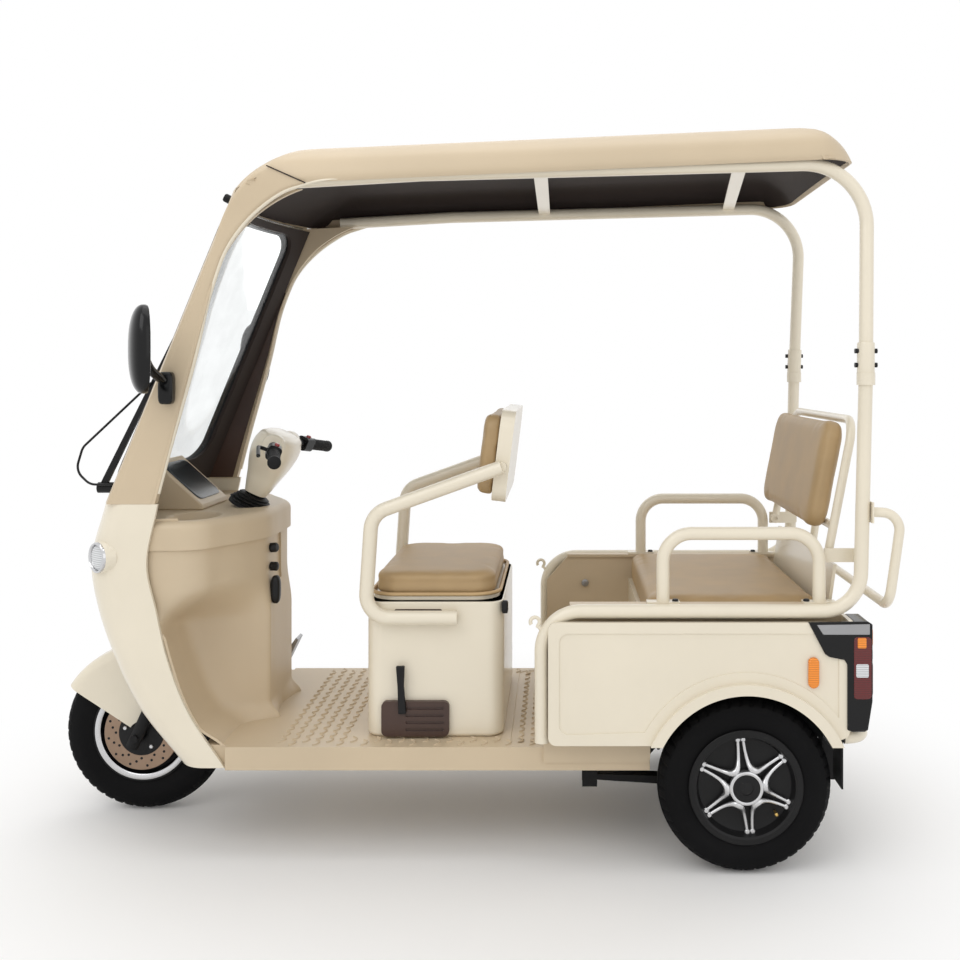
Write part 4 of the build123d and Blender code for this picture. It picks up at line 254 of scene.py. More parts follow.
def ellipse(wide, high, count=48):
    """Closed outline of an ellipse with these half sizes."""
    angle = np.linspace(0, 2 * np.pi, count, endpoint=False)
    return np.stack([wide * np.cos(angle), high * np.sin(angle)], -1)


def dense(corners, count):
    """Closed outline through corners, as evenly spaced points on its straight sides."""
    corners = np.asarray(corners, float)
    whole = np.concatenate([corners, corners[:1]])
    place = np.concatenate([[0], np.cumsum(np.linalg.norm(np.diff(whole, axis=0), axis=1))])
    at = np.linspace(0, place[-1], count, endpoint=False)
    return np.stack([np.interp(at, place, whole[:, 0]), np.interp(at, place, whole[:, 1])], -1)


def both_sides(part):
    """A part and its mirror image on the right side."""
    points, faces = part
    points = np.asarray(points).reshape(-1, 3)
    return joined([(points, faces), (points * np.array([1, -1, 1]), np.asarray(faces)[:, ::-1])])


def smooth_line(places, values, at):
    """Cubic through the given values, with the slope at each taken from its neighbours."""
    places, values = np.asarray(places, float), np.asarray(values, float)
    slope = np.gradient(values, places, axis=0)
    at = np.clip(at, places[0], places[-1])
    i = np.clip(np.searchsorted(places, at, side="right") - 1, 0, len(places) - 2)
    width = places[i + 1] - places[i]
    t = (at - places[i]) / width
    if values.ndim > 1:
        t, width = t[..., None], width[..., None]
    return (
        (2 * t**3 - 3 * t**2 + 1) * values[i]
        + (t**3 - 2 * t**2 + t) * width * slope[i]
        + (3 * t**2 - 2 * t**3) * values[i + 1]
        + (t**3 - t**2) * width * slope[i + 1]
    )


def smooth_path(points, count):
    """Smooth line through points, spread evenly by their distances."""
    points = np.asarray(points, float)
    place = np.concatenate([[0], np.cumsum(np.linalg.norm(np.diff(points, axis=0), axis=1))])
    return smooth_line(place, points, np.linspace(0, place[-1], count))


def ramp(value, low, high):
    """Smooth step from 0 at low to 1 at high."""
    t = np.clip((value - low) / (high - low), 0, 1)
    return t * t * (3 - 2 * t)


def rounded_rectangle(width, height, corner, count):
    """Closed outline of a rounded rectangle about the middle, evenly spaced."""
    angle = np.linspace(0, 2 * np.pi, 400, endpoint=False)
    c, s = np.cos(angle), np.sin(angle)
    x = np.sign(c) * (width / 2 - corner) + corner * c
    y = np.sign(s) * (height / 2 - corner) + corner * s
    outline = np.stack([x, y], -1)
    step = np.linalg.norm(np.diff(np.concatenate([outline, outline[:1]]), axis=0), axis=1)
    place = np.concatenate([[0], np.cumsum(step)])
    at = np.linspace(0, place[-1], count, endpoint=False)
    whole = np.concatenate([outline, outline[:1]])
    return np.stack([np.interp(at, place, whole[:, 0]), np.interp(at, place, whole[:, 1])], -1)


def merged_copy(node, name):
    """Copy of a solid's mesh with its loose triangles joined and flat facets merged."""
    shape = bmesh.new()
    shape.from_mesh(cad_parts[node].data)
    bmesh.ops.remove_doubles(shape, verts=shape.verts, dist=2e-5)
    bmesh.ops.dissolve_limit(shape, angle_limit=math.radians(0.6), verts=shape.verts, edges=shape.edges)
    mesh = bpy.data.meshes.new(name)
    shape.to_mesh(mesh)
    shape.free()
    if "custom_normal" in mesh.attributes:
        mesh.attributes.remove(mesh.attributes["custom_normal"])
    return mesh


def softened(node, name, width, finish, body, segments=3, angle=32):
    """A solid with every sharp edge rounded: a bevel of the given width in metres."""
    mesh = merged_copy(node, name)
    mesh.polygons.foreach_set("use_smooth", np.full(len(mesh.polygons), True))
    piece = bpy.data.objects.new(name, mesh)
    bpy.context.scene.collection.objects.link(piece)
    mesh.materials.clear()
    mesh.materials.append(FINISHES[finish])
    rounding = piece.modifiers.new("Rounded edges", "BEVEL")
    rounding.width = width
    rounding.segments = segments
    rounding.limit_method = "ANGLE"
    rounding.angle_limit = math.radians(angle)
    rounding.harden_normals = True
    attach(piece, body)
    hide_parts(node)
    return piece


# Finishes


def new_finish(name):
    """Empty material with its main shader and a place to read object coordinates."""
    finish = bpy.data.materials.new(name)
    finish.use_nodes = True
    nodes = finish.node_tree.nodes
    shader = nodes["Principled BSDF"]
    place = nodes.new("ShaderNodeTexCoord")
    return finish, nodes, finish.node_tree.links, shader, place


def noise_at(nodes, links, place, scale, detail=4.0, stretch=(1, 1, 1)):
    """Noise on object coordinates, stretched along an axis where asked."""
    mapping = nodes.new("ShaderNodeMapping")
    mapping.inputs["Scale"].default_value = stretch
    links.new(place.outputs["Object"], mapping.inputs["Vector"])
    noise = nodes.new("ShaderNodeTexNoise")
    noise.inputs["Scale"].default_value = scale
    noise.inputs["Detail"].default_value = detail
    links.new(mapping.outputs["Vector"], noise.inputs["Vector"])
    return noise


def tone_between(nodes, links, noise, dark, light, low=0.35, high=0.65):
    """Colour that drifts between two tones with the noise."""
    tone = nodes.new("ShaderNodeValToRGB")
    tone.color_ramp.elements[0].position = low
    tone.color_ramp.elements[1].position = high
    tone.color_ramp.elements[0].color = (*dark, 1)
    tone.color_ramp.elements[1].color = (*light, 1)
    links.new(noise.outputs["Fac"], tone.inputs["Fac"])
    return tone


def rough_between(nodes, links, noise, shader, low, high):
    """Roughness that drifts with the noise."""
    spread = nodes.new("ShaderNodeMapRange")
    spread.inputs["To Min"].default_value = low
    spread.inputs["To Max"].default_value = high
    links.new(noise.outputs["Fac"], spread.inputs["Value"])
    links.new(spread.outputs["Result"], shader.inputs["Roughness"])


def moulded(name, colour, rough, grain, depth, drift=0.05, coat=0.0, metallic=0.0, gloss=0.5, stretch=(1, 1, 1)):
    """Paint, plastic, rubber or metal: tone and gloss drift a little, and a fine grain lifts the surface."""
    finish, nodes, links, shader, place = new_finish(name)
    colour = np.asarray(colour)
    wide = noise_at(nodes, links, place, 4.0)
    tone = tone_between(nodes, links, wide, colour * (1 - drift), np.minimum(colour * (1 + drift), 1))
    links.new(tone.outputs["Color"], shader.inputs["Base Color"])
    fine = noise_at(nodes, links, place, grain, 3.0, stretch)
    rough_between(nodes, links, fine, shader, rough * 0.88, min(rough * 1.12, 1))
    bump = nodes.new("ShaderNodeBump")
    bump.inputs["Strength"].default_value = 0.35
    bump.inputs["Distance"].default_value = depth
    links.new(fine.outputs["Fac"], bump.inputs["Height"])
    links.new(bump.outputs["Normal"], shader.inputs["Normal"])
    shader.inputs["Metallic"].default_value = metallic
    shader.inputs["Specular IOR Level"].default_value = gloss
    shader.inputs["Coat Weight"].default_value = coat
    shader.inputs["Coat Roughness"].default_value = 0.12
    return finish


def vinyl(name, colour):
    """Vinyl hide: small cells with creases between them, over a slow drift of tone."""
    finish, nodes, links, shader, place = new_finish(name)
    colour = np.asarray(colour)
    wide = noise_at(nodes, links, place, 9.0)
    tone = tone_between(nodes, links, wide, colour * 0.93, colour * 1.07)
    links.new(tone.outputs["Color"], shader.inputs["Base Color"])
    cells = nodes.new("ShaderNodeTexVoronoi")
    cells.feature = "DISTANCE_TO_EDGE"
    cells.inputs["Scale"].default_value = 420.0
    links.new(place.outputs["Object"], cells.inputs["Vector"])
    bump = nodes.new("ShaderNodeBump")
    bump.inputs["Strength"].default_value = 0.30
    bump.inputs["Distance"].default_value = 0.0006
    links.new(cells.outputs["Distance"], bump.inputs["Height"])
    links.new(bump.outputs["Normal"], shader.inputs["Normal"])
    rough_between(nodes, links, wide, shader, 0.42, 0.54)
    return finish


def cloth_lining(name, colour):
    """Felted cloth: a fine speckle of two tones with a soft nap."""
    finish, nodes, links, shader, place = new_finish(name)
    colour = np.asarray(colour)
    speck = noise_at(nodes, links, place, 700.0, 2.0)
    tone = tone_between(nodes, links, speck, colour * 0.6, colour * 1.6)
    links.new(tone.outputs["Color"], shader.inputs["Base Color"])
    bump = nodes.new("ShaderNodeBump")
    bump.inputs["Strength"].default_value = 0.4
    bump.inputs["Distance"].default_value = 0.0008
    links.new(speck.outputs["Fac"], bump.inputs["Height"])
    links.new(bump.outputs["Normal"], shader.inputs["Normal"])
    rough_between(nodes, links, speck, shader, 0.75, 0.95)
    shader.inputs["Sheen Weight"].default_value = 0.15
    return finish


def clear(name, colour, rough, transmission):
    """Clear or tinted lens: faint ripples in the gloss and the tint."""
    finish, nodes, links, shader, place = new_finish(name)
    colour = np.asarray(colour)
    wide = noise_at(nodes, links, place, 14.0)
    tone = tone_between(nodes, links, wide, colour * 0.96, np.minimum(colour * 1.03, 1))
    links.new(tone.outputs["Color"], shader.inputs["Base Color"])
    rough_between(nodes, links, wide, shader, rough * 0.7, rough * 1.3)
    shader.inputs["Transmission Weight"].default_value = transmission
    shader.inputs["IOR"].default_value = 1.45
    return finish


def ribbed_lens(name, colour):
    """Lamp lens with fine upright ribs: a wave across it lifts the surface."""
    finish, nodes, links, shader, place = new_finish(name)
    colour = np.asarray(colour)
    wave = nodes.new("ShaderNodeTexWave")
    wave.bands_direction = "Z"
    wave.inputs["Scale"].default_value = 60.0
    wave.inputs["Distortion"].default_value = 0.2
    links.new(place.outputs["Object"], wave.inputs["Vector"])
    # The colour follows the ribs' wave: lighter on each crest and darker in each trough, a painted highlight and
    # painted shade of the ribs.
    tone = nodes.new("ShaderNodeValToRGB")
    tone.color_ramp.elements[0].color = (*(colour * 0.75), 1)
    tone.color_ramp.elements[1].color = (*np.minimum(colour * 1.15, 1), 1)
    links.new(wave.outputs["Fac"], tone.inputs["Fac"])
    links.new(tone.outputs["Color"], shader.inputs["Base Color"])
    bump = nodes.new("ShaderNodeBump")
    bump.inputs["Strength"].default_value = 0.3
    bump.inputs["Distance"].default_value = 0.001
    links.new(wave.outputs["Fac"], bump.inputs["Height"])
    links.new(bump.outputs["Normal"], shader.inputs["Normal"])
    shader.inputs["Roughness"].default_value = 0.12
    shader.inputs["Coat Weight"].default_value = 0.25
    return finish


FINISHES = {}
NODE_FINISH = {
    "chassis_black": ("frame", "rear_axle", "leaf_springs", "wheel_houses", "mudflaps", "battery_block", "fork"),
    "cream_paint": (
        "roof_tubes",
        "armrest_frame",
        "box_rims",
        "handrails",
        "rear_hoop",
        "rear_bumper",
        "backrest_frame",
        "lower_back",
        "rear_panel",
        "bench_box",
        "seat_pan",
    ),
    "beige_plastic": ("inner_walls",),
    "dark_lining": ("windscreen_lining",),
    "black_plastic": ("washer_hose", "handlebar"),
}


class TRICYCLE_OT_finishes(bpy.types.Operator):
    """Make every finish and give it to the solids that stay as they are"""

    bl_idname = "tricycle.finishes"
    bl_label = "Finishes"

    def execute(self, context):
        hue = context.scene.tricycle_colours
        FINISHES.update(
            cream_paint=moulded("cream_paint", hue.cream, 0.30, 160, 0.0002, 0.02, coat=0.35),
            beige_plastic=moulded("beige_plastic", hue.beige, 0.42, 900, 0.0004, 0.03),
            tan_vinyl=vinyl("tan_vinyl", hue.tan),
            tan_piping=moulded("tan_piping", np.asarray(hue.tan) * 1.25, 0.5, 700, 0.0003, 0.06),
            dark_lining=cloth_lining("dark_lining", hue.lining),
            brown_plastic=moulded("brown_plastic", hue.brown, 0.38, 500, 0.0004, 0.12),
            tyre_rubber=moulded("tyre_rubber", hue.rubber, 0.68, 300, 0.0006, 0.2, gloss=0.10),
            black_rubber=moulded("black_rubber", hue.rubber, 0.55, 500, 0.0005, 0.15, gloss=0.25),
            black_plastic=moulded("black_plastic", hue.black, 0.38, 700, 0.0003, 0.12, gloss=0.28),
            gloss_black=moulded("gloss_black", np.asarray(hue.black) * 0.7, 0.16, 60, 0.0001, 0.2, gloss=0.3),
            black_alloy=moulded("black_alloy", hue.alloy, 0.42, 260, 0.0003, 0.15, gloss=0.22),
            chassis_black=moulded("chassis_black", hue.alloy, 0.55, 220, 0.0006, 0.2, gloss=0.2),
            silver=moulded("silver", hue.silver, 0.26, 240, 0.0002, 0.05, metallic=0.9),
            chrome_ring=moulded("chrome_ring", hue.silver, 0.10, 80, 0.0001, 0.03, metallic=1.0),
            bare_steel=moulded("bare_steel", np.asarray(hue.silver) * 0.55, 0.38, 120, 0.0004, 0.1, metallic=0.9),
            disc_bronze=moulded("disc_bronze", (0.30, 0.21, 0.15), 0.34, 260, 0.0003, 0.12, metallic=0.85),
            brass=moulded("brass", (0.62, 0.42, 0.14), 0.28, 300, 0.0002, 0.06, metallic=0.9),
            clear_glass=clear("clear_glass", (0.93, 0.95, 0.95), 0.03, 1.0),
            screen_glass=moulded("screen_glass", (0.022, 0.027, 0.030), 0.22, 34, 0.0004, 0.8, gloss=0.32),
            amber_lens=ribbed_lens("amber_lens", hue.amber),
            red_lens=ribbed_lens("red_lens", hue.red),
            dark_red=ribbed_lens("dark_red", np.asarray(hue.red) * 0.35),
            lamp_lens=ribbed_lens("lamp_lens", (0.66, 0.68, 0.70)),
            mirror_glass=moulded("mirror_glass", (0.80, 0.83, 0.85), 0.04, 40, 0.00005, 0.02, metallic=1.0),
        )
        for finish, nodes in NODE_FINISH.items():
            for node in nodes:
                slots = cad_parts[node].data.materials
                slots.clear()
                slots.append(FINISHES[finish])
        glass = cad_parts["windscreen_glass"].data.materials
        glass.clear()
        glass.append(FINISHES["clear_glass"])
        return {"FINISHED"}


# Stage


def seen_directly(nodes, links):
    """Socket that is 1 for what the camera sees itself, in a reflection or through glass."""
    seen = nodes.new("ShaderNodeLightPath")
    first = nodes.new("ShaderNodeMath")
    first.operation = "MAXIMUM"
    either = nodes.new("ShaderNodeMath")
    either.operation = "MAXIMUM"
    links.new(seen.outputs["Is Camera Ray"], first.inputs[0])
    links.new(seen.outputs["Is Glossy Ray"], first.inputs[1])
    links.new(first.outputs[0], either.inputs[0])
    links.new(seen.outputs["Is Transmission Ray"], either.inputs[1])
    return either.outputs[0]


def floor_finish():
    """White floor that keeps the shadow near the object and goes over to plain white further out."""
    finish, nodes, links, shader, place = new_finish("studio_floor")
    wide = noise_at(nodes, links, place, 2.0)
    tone = tone_between(nodes, links, wide, (0.94, 0.94, 0.94), (0.95, 0.95, 0.95))
    links.new(tone.outputs["Color"], shader.inputs["Base Color"])
    shader.inputs["Roughness"].default_value = 0.95
    shader.inputs["Specular IOR Level"].default_value = 0.1
    far = nodes.new("ShaderNodeVectorMath")
    far.operation = "LENGTH"
    links.new(place.outputs["Object"], far.inputs[0])
    share = nodes.new("ShaderNodeMapRange")
    share.interpolation_type = "SMOOTHSTEP"
    share.inputs["From Min"].default_value = 0.75
    share.inputs["From Max"].default_value = 1.8
    links.new(far.outputs["Value"], share.inputs["Value"])
    both = nodes.new("ShaderNodeMath")
    both.operation = "MULTIPLY"
    links.new(seen_directly(nodes, links), both.inputs[0])
    links.new(share.outputs["Result"], both.inputs[1])
    white = nodes.new("ShaderNodeEmission")
    white.inputs["Color"].default_value = (1, 1, 1, 1)
    white.inputs["Strength"].default_value = 1.0
    mix = nodes.new("ShaderNodeMixShader")
    links.new(both.outputs[0], mix.inputs["Fac"])
    links.new(shader.outputs[0], mix.inputs[1])
    links.new(white.outputs[0], mix.inputs[2])
    links.new(mix.outputs[0], nodes["Material Output"].inputs["Surface"])
    return finish


class TRICYCLE_OT_stage(bpy.types.Operator):
    """Pale floor, soft studio light and the camera at the photograph's place"""

    bl_idname = "tricycle.stage"
    bl_label = "Stage"

    def execute(self, context):
        scene = context.scene
        scene.view_settings.view_transform = "Standard"
        world = bpy.data.worlds.new("studio")
        scene.world = world
        world.use_nodes = True
        nodes, links = world.node_tree.nodes, world.node_tree.links
        plain = nodes["Background"]
        plain.inputs["Color"].default_value = (1.0, 0.985, 0.965, 1)
        plain.inputs["Strength"].default_value = 0.80
        white = nodes.new("ShaderNodeBackground")
        white.inputs["Color"].default_value = (1, 1, 1, 1)
        white.inputs["Strength"].default_value = 1.0
        mix = nodes.new("ShaderNodeMixShader")
        links.new(seen_directly(nodes, links), mix.inputs["Fac"])
        links.new(plain.outputs[0], mix.inputs[1])
        links.new(white.outputs[0], mix.inputs[2])
        links.new(mix.outputs[0], nodes["World Output"].inputs["Surface"])

        u, v = np.meshgrid(np.linspace(-9000, 9000, 25), np.linspace(-9000, 9000, 25), indexing="ij")
        floor = np.stack([u, v, np.zeros_like(u)], -1)
        mesh = bpy.data.meshes.new("studio_floor")
        mesh.from_pydata((floor.reshape(-1, 3) * MM).tolist(), [], grid_faces(25, 25).tolist())
        ground = bpy.data.objects.new("studio_floor", mesh)
        scene.collection.objects.link(ground)
        mesh.materials.append(floor_finish())

        lamps = (
            ("key", (1.8, 3.2, 3.8), (0.0, 0.0, 0.8), 2.6, 38),
            ("fill", (-2.8, 3.4, 2.2), (-0.2, 0.0, 0.7), 3.0, 12),
            ("top", (0.0, 0.2, 4.4), (0.0, 0.0, 0.0), 3.2, 32),
            ("back", (0.2, -3.6, 3.0), (0.0, 0.0, 0.8), 3.2, 16),
        )
        for name, place, aim, size, power in lamps:
            lamp = bpy.data.lights.new(name, "AREA")
            lamp.energy = power
            lamp.size = size
            holder = bpy.data.objects.new(name, lamp)
            holder.location = place
            run = np.asarray(aim) - np.asarray(place)
            flat = math.hypot(run[0], run[1])
            holder.rotation_euler = (math.atan2(flat, -run[2]), 0, math.atan2(-run[0], run[1]))
            scene.collection.objects.link(holder)

        camera = bpy.data.cameras.new("photo_camera")
        camera.sensor_width = 36
        camera.lens = 41.55
        camera.shift_x = -0.0832
        camera.shift_y = -0.1118
        holder = bpy.data.objects.new("photo_camera", camera)
        holder.location = (-0.266, 3.0819, 1.2036)
        holder.rotation_euler = (math.radians(90), 0, math.radians(180))
        scene.collection.objects.link(holder)
        scene.camera = holder
        return {"FINISHED"}


# Body shells


def quadratic(start, middle, end, t):
    """Curve from start to end that leaves and arrives along the lines to the middle."""
    return (1 - t) ** 2 * start + 2 * t * (1 - t) * middle + t**2 * end


def cowl_grid(rows=64):
    """Front cowl: at each height a flat side band, a rounded corner and an arc across the front, over the wheel gate.

    The corner's place, the arc's bulge and the band's depth are smooth lines of the height. Columns that cross
    the gate start at its upper edge, a rectangle with rounded corners.
    """
    height = (232, 363, 498, 620, 719, 880)
    edge = (655, 760, 826, 867, 883, 848)
    bulge = (85, 85, 85, 85, 85, 80)
    band = (97, 114, 126, 139, 133, 125)
    half, gate, top, corner = 360.0, 238.0, 512.0, 90.0
    across, along = 52, 46  # size of the rounded corner
    front = np.concatenate([np.linspace(half - across, gate, 8), np.linspace(gate - 0.1, 0, 26)])
    share = np.linspace(0, 1, 12)
    bend = np.linspace(0, 1, 14)[1:-1]
    y = np.concatenate([np.full(12, half), quadratic(half, half, half - across, bend), front])
    low = np.full(len(y), 232.0)
    inside = np.abs(y) < gate - 0.05
    reach = np.clip(np.abs(y) - (gate - corner), 0, corner)
    low[inside] = (top - corner + np.sqrt(corner**2 - reach**2))[inside]
    v = np.linspace(0, 1, rows)[:, None]
    z = low + v * (880 - low)
    edge_x, arc, deep = (smooth_line(height, values, z) for values in (edge, bulge, band))
    radius = (half**2 + arc**2) / (2 * arc)
    arc_x = edge_x + arc - radius + np.sqrt(np.maximum(radius**2 - y**2, 0))
    rounded_x = edge_x + arc - radius + np.sqrt(radius**2 - (half - across) ** 2)
    x = arc_x.copy()
    x[:, :12] = (edge_x - deep)[:, :12] + share * (deep - along)[:, :12]
    x[:, 12:24] = quadratic((edge_x - along)[:, 12:24], edge_x[:, 12:24], rounded_x[:, 12:24], bend)
    left = np.stack([x, np.broadcast_to(y, x.shape), z], -1)
    right = left[:, -2::-1] * np.array([1, -1, 1])
    return np.concatenate([left, right], 1)


def roof_grid():
    """Roof: a section of upright fascia, sloped shoulder and low crown, carried from the rounded tail to the nose.

    Each line of the section starts at the tail arc, climbs to its own height, runs along the sloping rail and comes
    down the leaning windscreen arc to the lip.
    """
    fascia = [(407, 0), (411, 6), (412, 14), (410, 26), (407, 40), (403, 52)]
    fascia += [(396, 61), (384, 71), (366, 82), (348, 90)]
    crown_y = np.linspace(330, 0, 18)
    crown = np.stack([crown_y, 92 + 32 * (1 - (crown_y / 348) ** 2)], -1)
    half = np.concatenate([np.asarray(fascia, float), crown])
    section = np.concatenate([half, half[-2::-1] * np.array([-1, 1])])
    y, high = section[:, 0], section[:, 1]
    rise = math.tan(math.radians(2.5))
    lip = lambda x: 1691 - rise * (x + 278)
    tail_line = np.array([(-999, 1691), (-985, 1735), (-947, 1783), (-880, 1822), (-763, 1854)], float)
    plan = 90 - np.sqrt(np.maximum(90.0**2 - np.clip(np.abs(y) - 322, 0, 90) ** 2, 0))
    nose_z = (1581, 1640, 1662, 1697, 1751, 1810, 1900)
    nose_x = (641, 617, 606, 569, 467, 325, 100)
    sweep = -SCREEN_R + np.sqrt(SCREEN_R**2 - np.minimum(np.abs(y), 412) ** 2) - 18 * ramp(np.abs(y), 384, 407)

    def front_x(level):
        x = np.full(np.broadcast(level, y).shape, 500.0)
        for _ in range(30):
            x = 0.5 * x + 0.5 * (smooth_line(nose_z, nose_x, lip(x) + level) + sweep)
        return x

    up = np.linspace(0, 1, 12)[:, None] * high
    tail_x = smooth_line(tail_line[:, 1], tail_line[:, 0], lip(-990.0) + up) + plan
    nose = front_x(high[None])
    share = np.linspace(0, 1, 46)[1:-1, None]
    rail_x = tail_x[-1:] + share * (nose - tail_x[-1:])
    down = np.linspace(1, 0, 18)[:, None] * high
    nose_down = front_x(down)
    x = np.concatenate([tail_x, rail_x, nose_down])
    level = np.concatenate([up, np.broadcast_to(high, rail_x.shape), down])
    z = lip(x) + level
    grid = np.stack([x, np.broadcast_to(y, x.shape), z], -1)
    for _ in range(2):
        grid[1:-1, 3:-3] = 0.25 * grid[:-2, 3:-3] + 0.5 * grid[1:-1, 3:-3] + 0.25 * grid[2:, 3:-3]
    return grid


def dash_grid():
    """Dash: a bent outline carried up from the floor, then rounded over and drawn flat to the windscreen.

    Below the bolster the outline is the knee wall with the steering column in its middle, above it is the shelf's
    curve, and a smooth step of the height goes from one to the other. Two ovals sink into the flat top.
    """
    along = np.linspace(0, 1, 141)
    shelf = [(506, 0), (506, 70), (514, 128), (548, 200), (586, 264), (616, 316), (660, 343), (730, 348), (836, 348)]
    place = np.linspace(0, 1, 9)
    shelf_line = smooth_line(place, np.array(shelf), along)
    wall_z, roll_z = np.linspace(345, 757, 46), [762, 764, 766, 770]
    z = np.concatenate([np.linspace(285, 330, 8), wall_z, roll_z, np.linspace(778, 815, 6)])
    knee_x = smooth_line((285, 363, 498, 620, 765, 835), (600, 653, 707, 737, 752, 752), z)
    floor = 30 * (1 - ramp(z, 285, 330))
    x_k = knee_x[:, None]
    recess_y = np.array([0, 92, 122, 140, 176, 236, 300, 336, 347.5])
    recess_t = np.array([0.0, 0.0, 0.04, 0.40, 0.90, 1.0, 1.0, 0.97, 0.93])
    recess_x = 508 + (x_k - 508) * smooth_line(place, recess_t, along) - floor[:, None] * np.minimum(along * 4, 1)
    recess = np.stack([recess_x, np.broadcast_to(smooth_line(place, recess_y, along), recess_x.shape)], -1)
    inset = np.where(z < 764, 9.0, 0.0)[:, None]
    shelf_x = np.broadcast_to(shelf_line[:, 0], recess_x.shape) + inset
    shelf_y = np.broadcast_to(shelf_line[:, 1], recess_x.shape) - inset * 0.6
    shelf_rows = np.stack([shelf_x, shelf_y], -1)
    rise = ramp(z, 545, 668)[:, None, None]
    outline = recess * (1 - rise) + shelf_rows * rise
    wall = np.concatenate([outline, np.broadcast_to(z[:, None, None], outline.shape[:2] + (1,))], -1)
    turn = np.linspace(0, np.pi / 2, 8)[1:]
    centre = np.array([760.0, 0.0])
    pull = shelf_line - centre
    pull = pull / np.linalg.norm(pull, axis=1, keepdims=True)
    lip_xy = shelf_line[None] - pull[None] * (20 * (1 - np.cos(turn)))[:, None, None]
    lip_z = np.broadcast_to((815 + 20 * np.sin(turn))[:, None, None], lip_xy.shape[:2] + (1,))
    share = np.linspace(0, 1, 72)[1:, None, None]
    front = np.stack([836 + 67 * (1 - (shelf_line[:, 1] / 348) ** 2), shelf_line[:, 1]], -1)
    top_xy = lip_xy[-1:] * (1 - share) + front[None] * share
    oval = ((top_xy[..., 0] - 676) / 66) ** 2 + ((top_xy[..., 1] - 226) / 92) ** 2
    top_z = 835 - 26 * (1 - ramp(oval, 0.62, 1.0))
    top = np.concatenate([top_xy, top_z[..., None]], -1)
    left = np.concatenate([wall, np.concatenate([lip_xy, lip_z], -1), top])
    right = left[:, :0:-1] * np.array([1, -1, 1])
    return np.concatenate([right, left], 1)


PILLAR_ROWS = (  # rear x, rear z, front x, front z, half width at the rear, half width at the front
    (730, 881, 846, 881, 361.5, 360),
    (706.8, 971, 809, 971, 361.5, 360),
    (635, 1231, 703, 1231, 361.5, 360),
    (587, 1423, 624, 1423, 364, 362),
    (552.7, 1505, 590, 1510, 374, 368),
    (505, 1567, 556, 1590, 388, 384),
    (450, 1614, 517, 1645, 401, 407),
    (402, 1643, 478, 1683, 408, 414.5),
    (347, 1661, 440, 1702, 411.5, 415),
)


def pillar_lines(count=72):
    """Rear and front line of the left pillar, smooth through their rows."""
    table = np.asarray(PILLAR_ROWS, float)
    place = np.concatenate([[0], np.cumsum(np.linalg.norm(np.diff(table[:, :2], axis=0), axis=1))])
    rows = smooth_line(place, table, np.linspace(0, place[-1], count))
    return rows[:, (0, 4, 1)], rows[:, (2, 5, 3)]


def pillar_grid(roll=11.0, back=14.0):
    """Left pillar: a band between its two lines, whose edges roll inward by a quarter circle and run on."""
    rear, front = pillar_lines()
    aft = (rear - front) / np.linalg.norm(rear - front, axis=1, keepdims=True)
    inward = np.array([0.0, -1.0, 0.0])
    bend = np.linspace(np.pi / 2, 0, 6)[None, :, None]
    flat = np.linspace(0, 1, 9)[None, 1:-1, None]
    rear_flat, front_flat = rear - aft * roll, front + aft * roll
    rear_roll = rear_flat[:, None] + roll * (np.sin(bend) * aft[:, None] + (1 - np.cos(bend)) * inward)
    front_roll = front_flat[:, None] + roll * (np.sin(bend) * -aft[:, None] + (1 - np.cos(bend)) * inward)
    middle = rear_flat[:, None] * (1 - flat) + front_flat[:, None] * flat
    tail, nose = rear_roll[:, :1] + inward * back, front_roll[:, :1] + inward * back
    return np.concatenate([tail, rear_roll, middle, front_roll[:, ::-1], nose], 1)


class TRICYCLE_OT_screen(bpy.types.Operator):
    """Pillars that flare into the roof, their trim, the seams and the seal round the glass"""

    bl_idname = "tricycle.screen"
    bl_label = "Windscreen surround"

    def execute(self, context):
        band = both_sides(shell(pillar_grid(), 2.5, (600, 0, 1200)))
        new_object("pillar_bands", *band, "beige_plastic", sharp=50)
        rear, front = pillar_lines()
        inner = np.linspace(0.14, 1.0, 9)[None, :, None]
        inner = rear[:-6, None] * (1 - inner) + front[:-6, None] * inner - np.array([0, 15.5, 0])
        lining = both_sides(shell(inner, 2.5, (600, 0, 1200)))
        new_object("pillar_linings", *lining, "brown_plastic", "chassis", "dark_lining", sharp=50)
        run_out = np.array([(310, 408, 1668.0), (246, 407, 1673.0)])
        trim = np.concatenate([rear[2:] + np.array([0, -9.0, 0]), run_out])
        trim = rounded_tube(smooth_path(trim, 110), np.interp(np.arange(110), (0, 95, 109), (5.5, 5, 1)), 10)
        new_object("pillar_trim", *both_sides(trim), "cream_paint", sharp=60)
        seam = rear[-1] + np.linspace(0, 1, 12)[:, None] * (front[-1] - rear[-1]) + np.array([0, 2.5, 0])
        seams = both_sides(rounded_tube(seam, 1.6, 8))
        new_object("pillar_seams", *seams, "dark_lining", sharp=60)
        outline = rounded_rectangle(600, 675, 60, 240)
        y, z = outline[:, 0], 1282.5 + outline[:, 1]
        x = 78 - 0.41 * (z - 880) + np.sqrt(838.6**2 - y**2)
        seal = rounded_tube(np.stack([x, y, z], -1), 4, 12, closed=True, flat=3.0, up=(1, 0, 0))
        new_object("screen_seal", *seal, "black_rubber", sharp=60)
        bumper = lathe([(0.01, -8), (11, -8), (11, 6), (8, 10), (0.01, 11)], (583, 250, 1648), (0.85, 0.25, 0.45), 24)
        new_object("roof_bumpers", *both_sides(bumper), "black_rubber", sharp=40)
        return {"FINISHED"}


